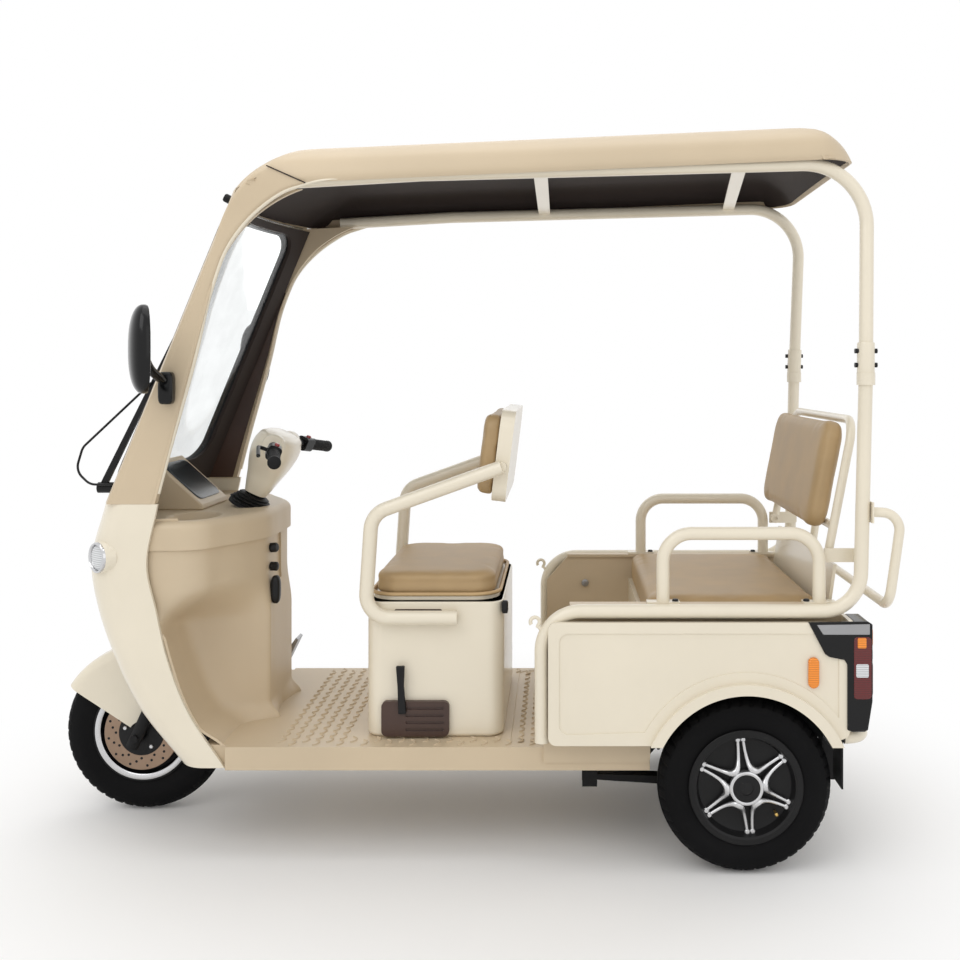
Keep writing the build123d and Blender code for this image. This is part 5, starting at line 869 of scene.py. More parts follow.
def guard_grid():
    """Mudguard: a U section with round shoulders swept about the axle, its sides drawn down to the fork as ears."""
    angle = np.radians(np.concatenate([np.linspace(33.2, 60, 40), np.linspace(61, 151, 51)]))
    degrees = np.degrees(angle)
    tip, foot = np.array([178.0, 116.0]), np.array([16.0, 25.0])
    run = foot - tip
    ray = np.stack([np.cos(angle), np.sin(angle)], -1)
    straight = (tip[0] * run[1] - tip[1] * run[0]) / np.minimum(ray[:, 0] * run[1] - ray[:, 1] * run[0], -1e-6)
    behind = np.interp(degrees, (55, 98, 104, 116, 151), (32, 34, 160, 192, 200))
    side = np.where(degrees < 56, np.clip(straight, 32, 214), behind)
    bend = np.linspace(0, np.pi / 2, 10)
    drop = np.linspace(1, 0, 14)[:-1]
    radius = np.concatenate(
        [side[:, None] + (209 - side)[:, None] * (1 - drop), np.broadcast_to(209 + 28 * np.sin(bend), (91, 10))], 1
    )
    y = np.concatenate([np.full(13, 64.0), 36 + 28 * np.cos(bend)])
    radius = np.concatenate([radius, radius[:, :1] * 0 + 238.2, radius[:, ::-1]], 1)
    y = np.concatenate([y, [0.0], -y[::-1]])
    x = FRONT_AXLE[0] + radius * np.cos(angle)[:, None]
    z = FRONT_AXLE[2] + radius * np.sin(angle)[:, None]
    return np.stack([x, np.broadcast_to(y, x.shape), z], -1)


class TRICYCLE_OT_shells(bpy.types.Operator):
    """Cowl, roof, dash and mudguard as smooth closed walls"""

    bl_idname = "tricycle.shells"
    bl_label = "Body shells"

    def execute(self, context):
        roof, under_roof = roof_grid(), (-200, 0, 1500)
        cloth = moved_in(roof[1:-1, 3:-3], 8.5, under_roof)
        walls = (  # name, surface, thickness, a point on the inner side, finish, body, solid
            ("cowl_shell", cowl_grid(), 10, (700, 0, 700), "cream_paint", "chassis", "front_cowl"),
            ("roof_moulding", roof, 7, under_roof, "beige_plastic", "chassis", "roof_shell"),
            ("roof_cloth", cloth, 3.5, under_roof, "dark_lining", "chassis", "roof_lining"),
            ("dash_moulding", dash_grid(), 6, (800, 0, 650), "beige_plastic", "chassis", "dash_body"),
            ("front_guard", guard_grid(), 3.5, tuple(FRONT_AXLE), "cream_paint", "steering", "front_mudguard"),
        )
        for name, grid, thick, inside, finish, body, node in walls:
            piece = new_object(name, *shell(grid, thick, inside), finish, body, sharp=50)
            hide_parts(node)
        return {"FINISHED"}


SOFTENED = (  # solid, name, edge rounding in millimetres, finish, body
    ("windscreen_frame", "pillar_frame", 9, "beige_plastic", "chassis"),
    ("floor_pan", "floor_tray", 7, "beige_plastic", "chassis"),
    ("instrument_pod", "instrument_hood", 12, "beige_plastic", "chassis"),
    ("seat_box", "seat_box_moulding", 9, "cream_paint", "chassis"),
    ("side_panel_left", "left_panel", 5, "cream_paint", "chassis"),
    ("side_panel_right", "right_panel", 5, "cream_paint", "chassis"),
    ("driver_back_shell", "driver_back_moulding", 8, "cream_paint", "chassis"),
    ("lever_housing", "lever_cover", 4, "brown_plastic", "chassis"),
    ("parking_lever", "parking_handle", 3, "black_plastic", "chassis"),
    ("switchgear", "switch_blocks", 4, "black_plastic", "steering"),
    ("wiper", "wiper_arm", 1.5, "black_plastic", "chassis"),
    ("brake_pedal", "foot_pedal", 2, "bare_steel", "chassis"),
)


class TRICYCLE_OT_mouldings(bpy.types.Operator):
    """Moulded pieces that keep their solid's shape, with rounded edges"""

    bl_idname = "tricycle.mouldings"
    bl_label = "Mouldings"

    def execute(self, context):
        for node, name, width, finish, body in SOFTENED:
            softened(node, name, width * MM, finish, body)
        return {"FINISHED"}


# Wheels


def tyre_grid(radius, depth, turns=360):
    """Tyre: a closed section of beads, bulged sidewalls and a low crown turned about the axle.

    Grooves are cut where a slanted wave of the angle and the width passes its limit, with two plain rings between.
    """
    bead, wide, shoulder = 127.3, (radius + 127.3) / 2, radius - 16
    lift = np.linspace(0, 1, 16)
    side_y = smooth_line((0, 0.5, 1), (33, 43, 36), lift)
    side_r = smooth_line((0, 0.5, 1), (bead, wide, shoulder), lift)
    ring = 0.9 * np.exp(-(((side_r - wide - 18) / 1.6) ** 2)) + 0.9 * np.exp(-(((side_r - wide - 24) / 1.6) ** 2))
    side_y = side_y + ring
    crown_y = np.linspace(36, -36, 49)[1:-1]
    crown_r = radius - 16 * (np.abs(crown_y) / 36) ** 2.3
    base_y = np.linspace(-33, 33, 8)[1:-1]
    y = np.concatenate([side_y, crown_y, -side_y[::-1], base_y])
    r = np.concatenate([side_r, crown_r, side_r[::-1], np.full(6, bead)])
    angle = np.linspace(0, 2 * np.pi, turns, endpoint=False)[:, None]
    slant = np.cos(45 * angle + 0.05 * np.abs(y) * np.sign(y))
    cut = ramp(slant, 0.62, 0.86) * ramp(np.abs(y), 7, 10) * (1 - ramp(np.abs(y), 34, 38))
    ring_cut = np.exp(-(((np.abs(y) - 13) / 1.7) ** 4))
    tread = (r > shoulder - 2) * np.maximum(cut, np.broadcast_to(ring_cut, cut.shape))
    deep = r - depth * tread
    return np.stack([deep * np.cos(angle), np.broadcast_to(y, deep.shape), deep * np.sin(angle)], -1)


# Turned profiles of the wheels: radius, and place along the axle
RIM = [(117, -43), (136, -43), (138, -41), (136, -39), (127, -38), (127, 38), (136, 39), (138, 41)]
RIM += [(136, 43), (124, 43), (119, 40), (117, 30), (112, 20), (98, 16), (60, 17), (42, 22), (36, 30)]
RIM += [(36, 46), (31, 48), (16, 48), (16, -46), (34, -46), (38, -40), (40, -6), (100, -2), (112, -8)]
RIM += [(117, -43)]
RIM_RING = [(118, 41), (122, 43.6), (128, 44.2), (132, 43.4), (128, 42), (118, 41)]
FOOT = [(0.01, -5), (5.6, -5), (6.4, -2), (6.4, 3), (4.6, 5), (0.01, 5)]
HUB = [(31, 44), (33, 47.5), (37, 48.6), (40, 47), (41, 40), (38, 26), (31, 28), (31, 44)]
HUB_CAP = [(0.01, 46.5), (20, 46.2), (29, 45), (31, 42), (31, 34), (0.01, 34)]
VALVE = [(0.01, -10), (3, -10), (3, 8), (4.2, 8), (4.2, 14), (2.4, 16), (0.01, 16)]
DISC = [(58, 50), (101, 50), (102, 51), (102, 53), (101, 54), (58, 54), (57, 53), (57, 51), (58, 50)]
CARRIER = [(16, 49), (58, 49.5), (62, 50), (62, 54.6), (56, 56), (36, 56.4), (30, 58), (16, 58), (16, 49)]


def spoke_arcs(count, face, sign):
    """Curved arcs of a wheel: each is a hyperbola from one rim foot in to the hub ring and out to the next foot.

    A round section is carried along it, wider at the hub, and each end has a round foot.
    """
    t = np.linspace(-50, 50, 41)
    reach = np.sqrt(45.0**2 + (1.78 * t) ** 2)
    wide = 4.2 + 5.2 * np.exp(-((t / 17) ** 2))
    lift = face + sign * (1 + 15 * np.exp(-((t / 22) ** 2)))
    parts = []
    for turn in np.arange(count) * 2 * np.pi / count + np.pi / count + 0.42:
        c, s = np.cos(turn), np.sin(turn)
        path = np.stack([reach * c - t * s, lift, reach * s + t * c], -1)
        parts.append(rounded_tube(path, wide, sides=12, flat=1.0, up=(0, 1, 0)))
        parts += [lathe(FOOT, path[end], (0, sign, 0), 18) for end in (0, -1)]
    return joined(parts)


def placed(part, centre):
    """Points of a part moved to a centre."""
    points, faces = part
    return np.asarray(points).reshape(-1, 3) + np.asarray(centre, float), faces


WHEELS = (  # name, centre, tyre radius, body, outer side
    ("front", (877.0, 0.0, 220.0), 220.0, "front_wheel", 1),
    ("rear_left", (-712.0, 390.0, 210.0), 210.0, "rear_wheel_left", 1),
    ("rear_right", (-712.0, -390.0, 210.0), 210.0, "rear_wheel_right", -1),
)


class TRICYCLE_OT_wheels(bpy.types.Operator):
    """Grooved tyres, black rims, silver arcs and the drilled brake disc"""

    bl_idname = "tricycle.wheels"
    bl_label = "Wheels"

    def execute(self, context):
        sizes = context.scene.tricycle_sizes
        for name, centre, radius, body, sign in WHEELS:
            centre = np.asarray(centre)
            grid = tyre_grid(radius, sizes.tread_depth / MM)
            faces = outward(grid.reshape(-1, 3), grid_faces(*grid.shape[:2], True, True))
            points = grid.reshape(-1, 3) + centre
            tyre = new_object(f"{name}_tread", points, faces, "tyre_rubber", body, sharp=60)
            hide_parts(f"{name}_tyre")
            black = lathe(RIM, centre, (0, sign, 0), 96)
            rim = new_object(f"{name}_alloy", *black, "black_alloy", body, sharp=30)
            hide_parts(f"{name}_rim")
            if name == "front":
                ring = lathe(RIM_RING, centre, (0, 1, 0), 96)
                new_object("front_rim_ring", *ring, "silver", body, "bare_steel", sharp=50)
                continue
            arcs = placed(spoke_arcs(sizes.spokes, sign * 22, sign), centre)
            hub = lathe(HUB, centre, (0, sign, 0), 72)
            new_object(f"{name}_arcs", *joined([arcs, hub]), "silver", body, "bare_steel", sharp=40)
            cap = lathe(HUB_CAP, centre, (0, sign, 0), 48)
            new_object(f"{name}_hub_cap", *cap, "gloss_black", body, "black_plastic", sharp=40)
            at = centre + np.array([96 * np.cos(2.42), sign * 30, -96 * np.sin(2.42)])
            valve = lathe(VALVE, at, (0, sign, 0), 16)
            new_object(f"{name}_valve", *valve, "brass", body, "bare_steel", sharp=40)
        centre = np.asarray(WHEELS[0][1])
        disc = lathe(DISC, centre, (0, 1, 0), 120)
        carrier = lathe(CARRIER, centre, (0, 1, 0), 72)
        disc_piece = new_object("drilled_disc", *disc, "disc_bronze", "front_wheel", "bare_steel", sharp=30)
        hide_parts("brake_disc")
        new_object("disc_carrier", *carrier, "black_alloy", "front_wheel", sharp=30)
        holes, bolts = [], []
        for k in np.arange(36):
            reach = (70, 80, 91)[k % 3]
            turn = 2 * np.pi * k / 36
            at = centre + np.array([reach * np.cos(turn), 0, reach * np.sin(turn)])
            holes.append(lathe([(0.01, 49.6), (3.6, 49.6), (3.6, 54.3), (0.01, 54.3)], at, (0, 1, 0), 12))
        for k in np.arange(5):
            turn = 2 * np.pi * k / 5 + 0.3
            at = centre + np.array([46 * np.cos(turn), 0, 46 * np.sin(turn)])
            bolts.append(lathe([(0.01, 52), (6, 52), (6, 58.5), (4.6, 60), (0.01, 60)], at, (0, 1, 0), 6))
        new_object("disc_holes", *joined(holes), "gloss_black", "front_wheel", "black_alloy", sharp=40)
        new_object("disc_bolts", *joined(bolts), "silver", "front_wheel", "bare_steel", sharp=30)
        return {"FINISHED"}


# Cushions


def inflate(piece, cap, quick):
    """Cloth with air pressure and no weight for twenty frames; no point moves further than the cap."""
    mesh = piece.data
    start = np.empty(len(mesh.vertices) * 3)
    mesh.vertices.foreach_get("co", start)
    start = start.reshape(-1, 3)
    if quick:
        normal = np.empty(len(mesh.vertices) * 3)
        mesh.vertices.foreach_get("normal", normal)
        lo, hi = start.min(0), start.max(0)
        inner = np.prod(1 - np.clip(2 * (start - (lo + hi) / 2) / (hi - lo), -1, 1) ** 4 + 0.001, axis=1)
        moved = start + normal.reshape(-1, 3) * (cap * 0.4 * np.cbrt(np.clip(inner, 0, 1)))[:, None]
    else:
        scene = bpy.context.scene
        cloth = piece.modifiers.new("Air", "CLOTH")
        cloth.settings.quality = 5
        cloth.settings.use_pressure = True
        cloth.settings.uniform_pressure_force = 4
        cloth.settings.effector_weights.gravity = 0
        cloth.settings.tension_stiffness = 25
        cloth.settings.compression_stiffness = 25
        cloth.collision_settings.use_collision = False
        cloth.point_cache.frame_start = 1
        cloth.point_cache.frame_end = 20
        for step in range(1, 21):
            scene.frame_set(step)
        shape = piece.evaluated_get(bpy.context.evaluated_depsgraph_get())
        swollen = np.empty(len(mesh.vertices) * 3)
        shape.data.vertices.foreach_get("co", swollen)
        swollen = swollen.reshape(-1, 3)
        piece.modifiers.remove(cloth)
        scene.frame_set(1)
        move = swollen - start
        size = np.linalg.norm(move, axis=1, keepdims=True)
        moved = start + move * np.minimum(1, cap / np.maximum(size, 1e-9))
    mesh.vertices.foreach_set("co", moved.ravel())
    mesh.update()


def cushion(node, name, body, cap, shrink, finish, seams=()):
    """Stuffed cushion: the solid's mesh as even voxels, drawn in a little, blown up by cloth and subdivided once.

    Each seam is an axis and a place on it in millimetres, where the skin sinks in along its normal.
    """
    mesh = merged_copy(node, name)
    piece = bpy.data.objects.new(name, mesh)
    bpy.context.scene.collection.objects.link(piece)
    mesh.materials.clear()
    mesh.materials.append(finish)
    even = piece.modifiers.new("Voxels", "REMESH")
    even.mode = "VOXEL"
    even.voxel_size = 0.006
    bpy.context.view_layer.update()
    solid = piece.evaluated_get(bpy.context.evaluated_depsgraph_get())
    voxels = bpy.data.meshes.new_from_object(solid)
    piece.modifiers.clear()
    voxels.name = name
    piece.data = voxels
    voxels.materials.clear()
    voxels.materials.append(finish)
    place = np.empty(len(voxels.vertices) * 3)
    normal = np.empty_like(place)
    voxels.vertices.foreach_get("co", place)
    voxels.vertices.foreach_get("normal", normal)
    voxels.vertices.foreach_set("co", place - normal * shrink)
    voxels.update()
    inflate(piece, cap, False)
    voxels.vertices.foreach_get("co", place)
    voxels.vertices.foreach_get("normal", normal)
    skin, out = place.reshape(-1, 3).copy(), normal.reshape(-1, 3)
    for axis, at in seams:
        skin -= out * (0.005 * np.exp(-(((skin[:, axis] / MM - at) / 5.5) ** 2)))[:, None]
    voxels.vertices.foreach_set("co", skin.ravel())
    voxels.update()
    even = piece.modifiers.new("Even skin", "SMOOTH")
    even.factor = 0.5
    even.iterations = 8
    finer = piece.modifiers.new("Finer skin", "SUBSURF")
    finer.levels = 1
    finer.render_levels = 1
    voxels.polygons.foreach_set("use_smooth", np.full(len(voxels.polygons), True))
    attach(piece, body)
    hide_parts(node)
    return piece


class TRICYCLE_OT_cushions(bpy.types.Operator):
    """Seat, bench and back cushions, swollen by cloth and edged with piping"""

    bl_idname = "tricycle.cushions"
    bl_label = "Cushions"

    def execute(self, context):
        tan = FINISHES["tan_vinyl"]
        radius = context.scene.tricycle_sizes.piping / MM
        cushion("seat_cushion", "seat_pad_vinyl", "driver_seat", 0.006, 0.002, tan, ((2, 668),))
        cushion("bench_cushion", "bench_pad_vinyl", "chassis", 0.007, 0.002, tan)
        cushion("driver_back_pad", "driver_back_vinyl", "chassis", 0.005, 0.002, tan)
        cushion("backrest_cushion", "rear_back_vinyl", "rear_backrest", 0.006, 0.002, tan)
        outline = rounded_rectangle(330, 538, 70, 240) + np.array([53.5, 0])
        ring = np.concatenate([outline, np.full((240, 1), 641.0)], -1)
        piping = rounded_tube(ring, radius, 10, closed=True)
        new_object("seat_piping", *piping, "tan_piping", "driver_seat", "tan_vinyl", sharp=60)
        return {"FINISHED"}


# Front end


class TRICYCLE_OT_steering(bpy.types.Operator):
    """Column cover, bellows, grips and the instrument glass"""

    bl_idname = "tricycle.steering"
    bl_label = "Steering"

    def execute(self, context):
        table = np.array(
            [(38, 60, 62), (66, 76, 80), (96, 92, 98), (125, 108, 132), (150, 117, 168)]
            + [(174, 120, 188), (200, 110, 184), (216, 88, 158), (222, 60, 110)],
            float,
        )
        s = np.concatenate([np.linspace(38, 216, 44), np.linspace(217, 222, 6)])
        deep, wide = (smooth_line(table[:, 0], table[:, k], s) / 2 for k in (1, 2))
        angle = np.linspace(0, 2 * np.pi, 72, endpoint=False)
        part = lambda v: np.sign(v) * np.abs(v) ** (2 / 2.9)
        x = deep[:, None] * part(np.cos(angle))
        y = wide[:, None] * part(np.sin(angle))
        base = FRONT_AXLE + STEER_AXIS * DASH_S
        grid = base + s[:, None, None] * STEER_AXIS + x[..., None] * STEER_FRONT + y[..., None] * np.array([0, 1.0, 0])
        ends = [grid[:1] * 0 + grid[0].mean(0), grid, grid[:1] * 0 + grid[-1].mean(0)]
        grid = np.concatenate(ends)
        points = grid.reshape(-1, 3)
        faces = outward(points, grid_faces(*grid.shape[:2], wrap_columns=True))
        cover = new_object("column_bulb", points, faces, "cream_paint", "steering", "cream_plastic", sharp=60)
        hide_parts("column_cover")

        folds = [(26, -4), (60, -4), (60, 3)]
        for k in range(4):
            folds += [(57 - 5 * k, 6 + 7 * k), (61 - 6 * k, 9.5 + 7 * k), (57 - 6 * k, 12 + 7 * k)]
        folds += [(33, 34), (26, 34), (26, -4)]
        bellows = lathe(folds, base - STEER_AXIS * 2, STEER_AXIS, 72)
        boot = new_object("bellows", *bellows, "black_rubber", sharp=45)
        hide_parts("steering_boot")

        bar = FRONT_AXLE + STEER_AXIS * BAR_S
        tips, roots = [], []
        for side in (1, -1):
            tip = bar + STEER_FRONT * -74 + np.array([0, 312.0 * side, 0])
            root = bar + STEER_FRONT * -8 + np.array([0, 90.0 * side, 0])
            inward = (root - tip) / np.linalg.norm(root - tip)
            ridge = np.arange(14)
            profile = [(0.01, -6), (13, -6), (17, -3), (17, 4)]
            for k in ridge:
                profile += [(15.0, 9 + 7 * k), (15.0, 11 + 7 * k), (16.2, 12 + 7 * k), (16.2, 14.6 + 7 * k)]
            profile += [(15, 108), (18.5, 109), (18.5, 112), (11.2, 112), (11.2, -2), (0.01, -2)]
            tips.append(lathe(profile, tip, inward, 32))
            boss = bar + np.array([0, 78.0 * side, 0]) - STEER_FRONT * 8
            knob = [(0.01, -14), (29, -14), (31, -8), (31, 14), (28, 18), (0.01, 18)]
            roots.append(lathe(knob, boss, (0, side, 0), 40))
        grips = new_object("ribbed_grips", *joined(tips), "black_rubber", "steering", sharp=40)
        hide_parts("grips")
        new_object("bar_bosses", *joined(roots), "cream_paint", "steering", "cream_plastic", sharp=40)

        run = np.array([822.0 - 694.0, 0, 966.0 - 850.0])
        run = run / np.linalg.norm(run)
        lift = np.array([-run[2], 0, run[0]])
        middle = np.array([758.0, 0, 908.0]) + lift * 0.5
        turn = np.stack([run, np.array([0, 1.0, 0]), lift], 1)
        glass = rounded_box(middle, (142, 186, 5), 9, 11, 40, turn)
        new_object("instrument_glass", *glass, "screen_glass", "chassis", "black_plastic", sharp=60)
        return {"FINISHED"}


# Lamps and mirrors

LEFT_FACE = dict(across=(-1, 0, 0), up=(0, 0, 1))  # drawn with the distance behind the middle and the height
REAR_FACE = dict(across=(0, -1, 0), up=(0, 0, 1))  # drawn with the distance to the right and the height
LAMP_COVER = (
    (858, 609),
    (898, 533),
    (908, 526),
    (944, 519),
    (951, 508),
    (951, 352),
    (964, 347),
    (1000, 351),
    (1011, 420),
    (1011, 604),
    (1000, 611),
)
LAMP_STRIP = ((878, 603), (893, 580), (1004, 580), (1004, 605))
MIRROR_TURN = math.radians(28)


def tile(middle, size, corner, depth, face, base=0.0):
    """Small rounded plate on the left or the rear face of the body, standing proud by the depth."""
    outline = rounded_rectangle(size[0], size[1], corner, 96)
    edge = min(1.5, depth)
    return pillow(outline, (0, 0), middle, face["across"], face["up"], depth, edge, base)


HEADLAMP_AT = (926, 0, 688)


class TRICYCLE_OT_lamps(bpy.types.Operator):
    """Tail lamps with their cover and lenses, side markers, headlamp and mirrors"""

    bl_idname = "tricycle.lamps"
    bl_label = "Lamps and mirrors"

    def execute(self, context):
        softened("tail_lamps", "tail_lamp_cases", 0.007, "gloss_black", "chassis")
        cover = pillow(dense(LAMP_COVER, 240), (965, 560), (0, 439.5, 0), (-1, 0, 0), (0, 0, 1), 5, 3)
        new_object("tail_lamp_covers", *both_sides(cover), "gloss_black", "chassis", "black_plastic", sharp=50)
        strip = pillow(dense(LAMP_STRIP, 120), (950, 592), (0, 444.3, 0), (-1, 0, 0), (0, 0, 1), 1.2, 0.8)
        new_object("tail_lamp_strips", *both_sides(strip), "bare_steel", sharp=50)
        lenses = (  # name, finish and slot; then place, size, corner and height of the tile on the side and on the rear
            (
                ("tail_smoke", "dark_red", "lamp_lens"),
                ((-987, 444, 500), (42, 148), 8, 2.0),
                ((-1012, 384, 470), (98, 84), 10, 3.0),
            ),
            (
                ("tail_amber", "amber_lens", "amber_lens"),
                ((-985, 446, 560), (21, 25), 3, 1.5),
                ((-1012, 384, 570), (98, 46), 10, 3.0),
            ),
            (
                ("tail_clear", "lamp_lens", "lamp_lens"),
                ((-986, 446, 494), (30, 32), 4, 1.2),
                ((-1012, 384, 529), (98, 28), 8, 3.0),
            ),
        )
        for (name, finish, slot), side, rear in lenses:
            parts = [tile(*side[:3], side[3], LEFT_FACE, -1), tile(*rear[:3], rear[3], REAR_FACE, -2)]
            new_object(name, *both_sides(joined(parts)), finish, "chassis", slot, sharp=50)
        capsule = pillow(rounded_rectangle(26, 74, 12.9, 96), (0, 0), (-871, 439, 488), (-1, 0, 0), (0, 0, 1), 8, 5)
        marker = new_object("marker_capsules", *both_sides(capsule), "amber_lens", sharp=60)
        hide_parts("side_markers")

        bezel = [(60, -4), (72, 0), (72, 14), (70, 28), (65, 40), (60, 45), (55, 46), (53, 42), (56, 30), (60, -4)]
        rim = [(30, -14), (37.5, -14), (38, -5), (36.5, -2), (33, -1), (31, -3), (30, -14)]
        corner, outside = (876.7, 360, 748), (math.cos(math.radians(50)), math.sin(math.radians(50)), 0)
        rings = joined([lathe(bezel, HEADLAMP_AT, (1, 0, 0), 80), both_sides(lathe(rim, corner, outside, 56))])
        ring = new_object("headlamp_bezel", *rings, "chrome_ring")
        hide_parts("headlamp")
        dome = [(0.01, 57), (20, 56), (40, 52), (52, 45), (55, 40), (55, 32), (0.01, 32)]
        disc = [(0.01, -2), (14, -2.4), (26, -4), (31, -7), (31, -13), (0.01, -13)]
        collar = [(29, -34), (43, -34), (40.5, -20), (38, -9), (36, -7), (29, -7), (29, -34)]
        boss = both_sides(lathe(collar, corner, outside, 56))
        new_object("corner_lamp_bosses", *boss, "cream_paint")
        glass = joined([lathe(dome, HEADLAMP_AT, (1, 0, 0), 64), both_sides(lathe(disc, corner, outside, 48))])
        new_object("headlamp_glass", *glass, "lamp_lens", sharp=60)

        facing = np.array([math.cos(MIRROR_TURN), math.sin(MIRROR_TURN), 0.0])
        aside = np.array([-facing[1], facing[0], 0.0])
        middle = np.array([712.0, 480.0, 1259.0])
        bowl, faces = rounded_box((0, 0, 0), (66, 122, 210), 2.4, 25, 48)
        bowl[:, 0] = np.maximum(bowl[:, 0], -8)
        bowl = middle + bowl[:, :1] * facing + bowl[:, 1:2] * aside + bowl[:, 2:] * np.array([0, 0, 1.0])
        foot = rounded_box((694, 377.3, 1166), (36, 34, 80), 5, 13, 32)
        reach = [(694, 378, 1180), (700, 412, 1192), (710, 446, 1214), (713, 466, 1236)]
        stay = rounded_tube(smooth_path(reach, 14), 11, 16)
        bowls = both_sides(joined([(bowl, faces), foot, stay]))
        housing = new_object("mirror_bowls", *bowls, "gloss_black", "chassis", "black_plastic")
        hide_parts("mirrors")
        pane = pillow(ellipse(54, 98), (0, 0), middle - facing * 8, -aside, (0, 0, 1), 1.5, 1.2, -1)
        new_object("mirror_panes", *both_sides(pane), "mirror_glass", "chassis", "chrome_ring", sharp=60)
        return {"FINISHED"}


# Fittings


def dome(place, axis, radius=8.0, height=7.0):
    """Round bolt head with a rounded top."""
    profile = [(0.01, -2), (radius, -2), (radius, 0.45 * height), (0.75 * radius, 0.85 * height), (0.01, height)]
    return lathe(profile, place, axis, 20)


class TRICYCLE_OT_fittings(bpy.types.Operator):
    """Bolts, post collars, hooks, latch, plugs and the knobs on the steering column"""

    bl_idname = "tricycle.fittings"
    bl_label = "Fittings"

    def execute(self, context):
        upright = (0, 0, 1)
        bolts = [dome((x, 375, 645), upright) for x in (-548, -868)]
        through = [(0.01, -27), (6, -27), (6, 27), (0.01, 27)]
        bolts += [lathe(through, (-1004, 410, z), (1, 0, 0), 14) for z in (1222, 1256)]
        new_object("black_bolts", *both_sides(joined(bolts)), "black_plastic")
        sleeve = [(17.5, 0), (20.5, 0), (21, 3), (21, 71), (20.5, 74), (17.5, 74), (17.5, 0)]
        collars = both_sides(lathe(sleeve, (-1003.6, 410, 1202), (-0.024, -0.066, 1.0), 40))
        new_object("post_collars", *collars, "cream_paint")
        turn = np.linspace(-0.6, 1.35 * np.pi, 30)
        loop = np.stack([-206 + 11 * np.cos(turn), np.full(30, 411.0), 603 + 11 * np.sin(turn)], -1)
        hook = rounded_tube(np.concatenate([[(-222, 411, 582)], [(-216, 411, 590)], loop[::-1]]), 4.5, 10, up=(0, 1, 0))
        new_object("rim_hooks", *both_sides(hook), "cream_paint", sharp=60)
        plug = lathe([(0.01, -2), (11, -2), (11, 1.5), (8, 2.6), (0.01, 2.2)], (-344, 352, 552), (0, -1, 0), 32)
        new_object("wall_plugs", *both_sides(plug), "bare_steel")
        pin = [(0.01, 0), (7, 0), (10, 4), (11, 40), (13, 46), (13, 82), (0.01, 82)]
        peg = lathe(pin, (-339, 232, 148), upright, 28)
        latch = rounded_box((-127, 276, 611), (16, 22, 32), 5)
        # Dark brown strip along the seat box's side: a narrow slot whose dark fill is painted shade of its recess.
        slot = tile((91, 289.6, 604), (120, 8), 3.9, 1.0, LEFT_FACE, -1)
        new_object("rail_peg", *peg, "black_rubber")
        new_object("box_latch", *latch, "black_plastic")
        new_object("seat_box_slot_shade", *both_sides(slot), "brown_plastic")
        knobs = [
            lathe([(0.01, -10), (13, -10), (13, 4), (10, 8), (0.01, 9)], (504, 90, 732), (-1, 0.2, 0.1), 28),
            lathe([(0.01, -10), (12, -10), (12, 6), (9, 9), (0.01, 10)], (504, 90, 681), (-1, 0.2, 0), 28),
            rounded_box((501, 90, 619), (26, 32, 76), 3),
        ]
        knobs = new_object("column_knobs", *joined(knobs), "black_plastic")
        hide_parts("dash_controls")
        buttons = []
        for side in (1, -1):
            place = FRONT_AXLE + STEER_AXIS * (BAR_S + 20) - STEER_FRONT * 36 + np.array([0, 182.0 * side, 0])
            buttons.append(dome(place, STEER_AXIS, 7, 7))
        new_object("switch_buttons", *joined(buttons), "red_lens", "steering", "lamp_lens")
        return {"FINISHED"}


# Floor


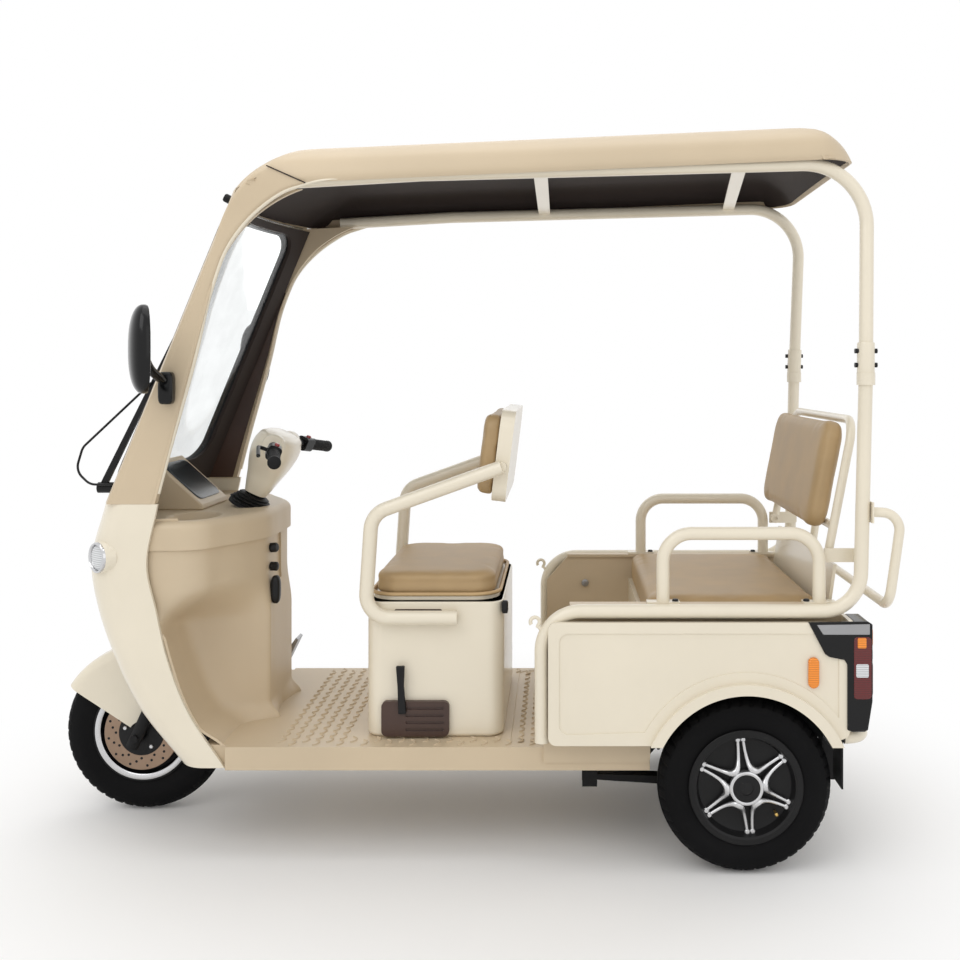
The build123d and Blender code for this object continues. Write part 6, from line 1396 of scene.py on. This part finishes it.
class TRICYCLE_OT_floor(bpy.types.Operator):
    """Raised scales on the floor, each a low crescent, in rows set off by half a step"""

    bl_idname = "tricycle.floor"
    bl_label = "Floor scales"

    def execute(self, context):
        pitch = context.scene.tricycle_sizes.scale_pitch / MM
        angle = np.linspace(0.12 * np.pi, 0.88 * np.pi, 9)
        outer = np.stack([-22 * np.sin(angle), 22 * np.cos(angle)], -1)
        inner = np.stack([-15.5 * np.sin(angle) * 1.0, 19 * np.cos(angle)], -1)
        crest = outer * 0.72 + inner * 0.28
        rings = np.stack(
            [
                np.concatenate([outer, np.full((9, 1), -0.5)], -1),
                np.concatenate([crest, np.full((9, 1), 2.8)], -1),
                np.concatenate([inner, np.full((9, 1), -0.5)], -1),
            ]
        )
        rows = np.arange(440, -470, -pitch * 0.62)
        spots = np.array(
            [(x, y) for k, x in enumerate(rows) for y in np.arange(-8, 9) * pitch * 0.92 + (k % 2) * pitch * 0.46]
        )
        ahead, aside = spots[:, 0], np.abs(spots[:, 1])
        under_seat = (aside < 305) & (ahead > -145) & (ahead < 262)
        under_dash = (aside < 165) & (ahead > 470)
        keep = (aside < 335) & ~under_seat & ~under_dash
        spots = spots[keep]
        level = np.where((spots[:, 0] < -140) & (np.abs(spots[:, 1]) < 300), 283.0, 285.0)
        place = np.concatenate([spots, level[:, None]], -1)
        points = place[:, None, None] + rings[None]
        one = grid_faces(3, 9, wrap_rows=True)
        faces = (one[None] + (np.arange(len(place)) * 27)[:, None, None]).reshape(-1, 4)
        new_object("floor_scales", points.reshape(-1, 3), faces[:, ::-1], "beige_plastic", sharp=60)
        return {"FINISHED"}


class TRICYCLE_PT_panel(bpy.types.Panel):
    """Buttons for each group of pieces, and the sizes and colours they use"""

    bl_idname = "TRICYCLE_PT_panel"
    bl_label = "Tricycle"
    bl_space_type = "VIEW_3D"
    bl_region_type = "UI"
    bl_category = "Tricycle"

    def draw(self, context):
        for step in STEPS:
            self.layout.operator(step.bl_idname)
        for group in (context.scene.tricycle_sizes, context.scene.tricycle_colours):
            box = self.layout.box()
            for field in group.bl_rna.properties.keys():
                if field not in ("rna_type", "name"):
                    box.prop(group, field)


STEPS = (
    TRICYCLE_OT_stage,
    TRICYCLE_OT_finishes,
    TRICYCLE_OT_shells,
    TRICYCLE_OT_screen,
    TRICYCLE_OT_mouldings,
    TRICYCLE_OT_wheels,
    TRICYCLE_OT_cushions,
    TRICYCLE_OT_steering,
    TRICYCLE_OT_lamps,
    TRICYCLE_OT_fittings,
    TRICYCLE_OT_floor,
)
CLASSES = (TricycleColours, TricycleSizes, *STEPS, TRICYCLE_PT_panel)


def register():
    for cls in CLASSES:
        bpy.utils.register_class(cls)
    bpy.types.Scene.tricycle_colours = PointerProperty(type=TricycleColours)
    bpy.types.Scene.tricycle_sizes = PointerProperty(type=TricycleSizes)


def unregister():
    del bpy.types.Scene.tricycle_sizes
    del bpy.types.Scene.tricycle_colours
    for cls in reversed(CLASSES):
        bpy.utils.unregister_class(cls)


def main():
    """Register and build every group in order."""
    register()
    for step in STEPS:
        group, action = step.bl_idname.split(".")
        getattr(getattr(bpy.ops, group), action)()


if __name__ == "__main__":
    main()
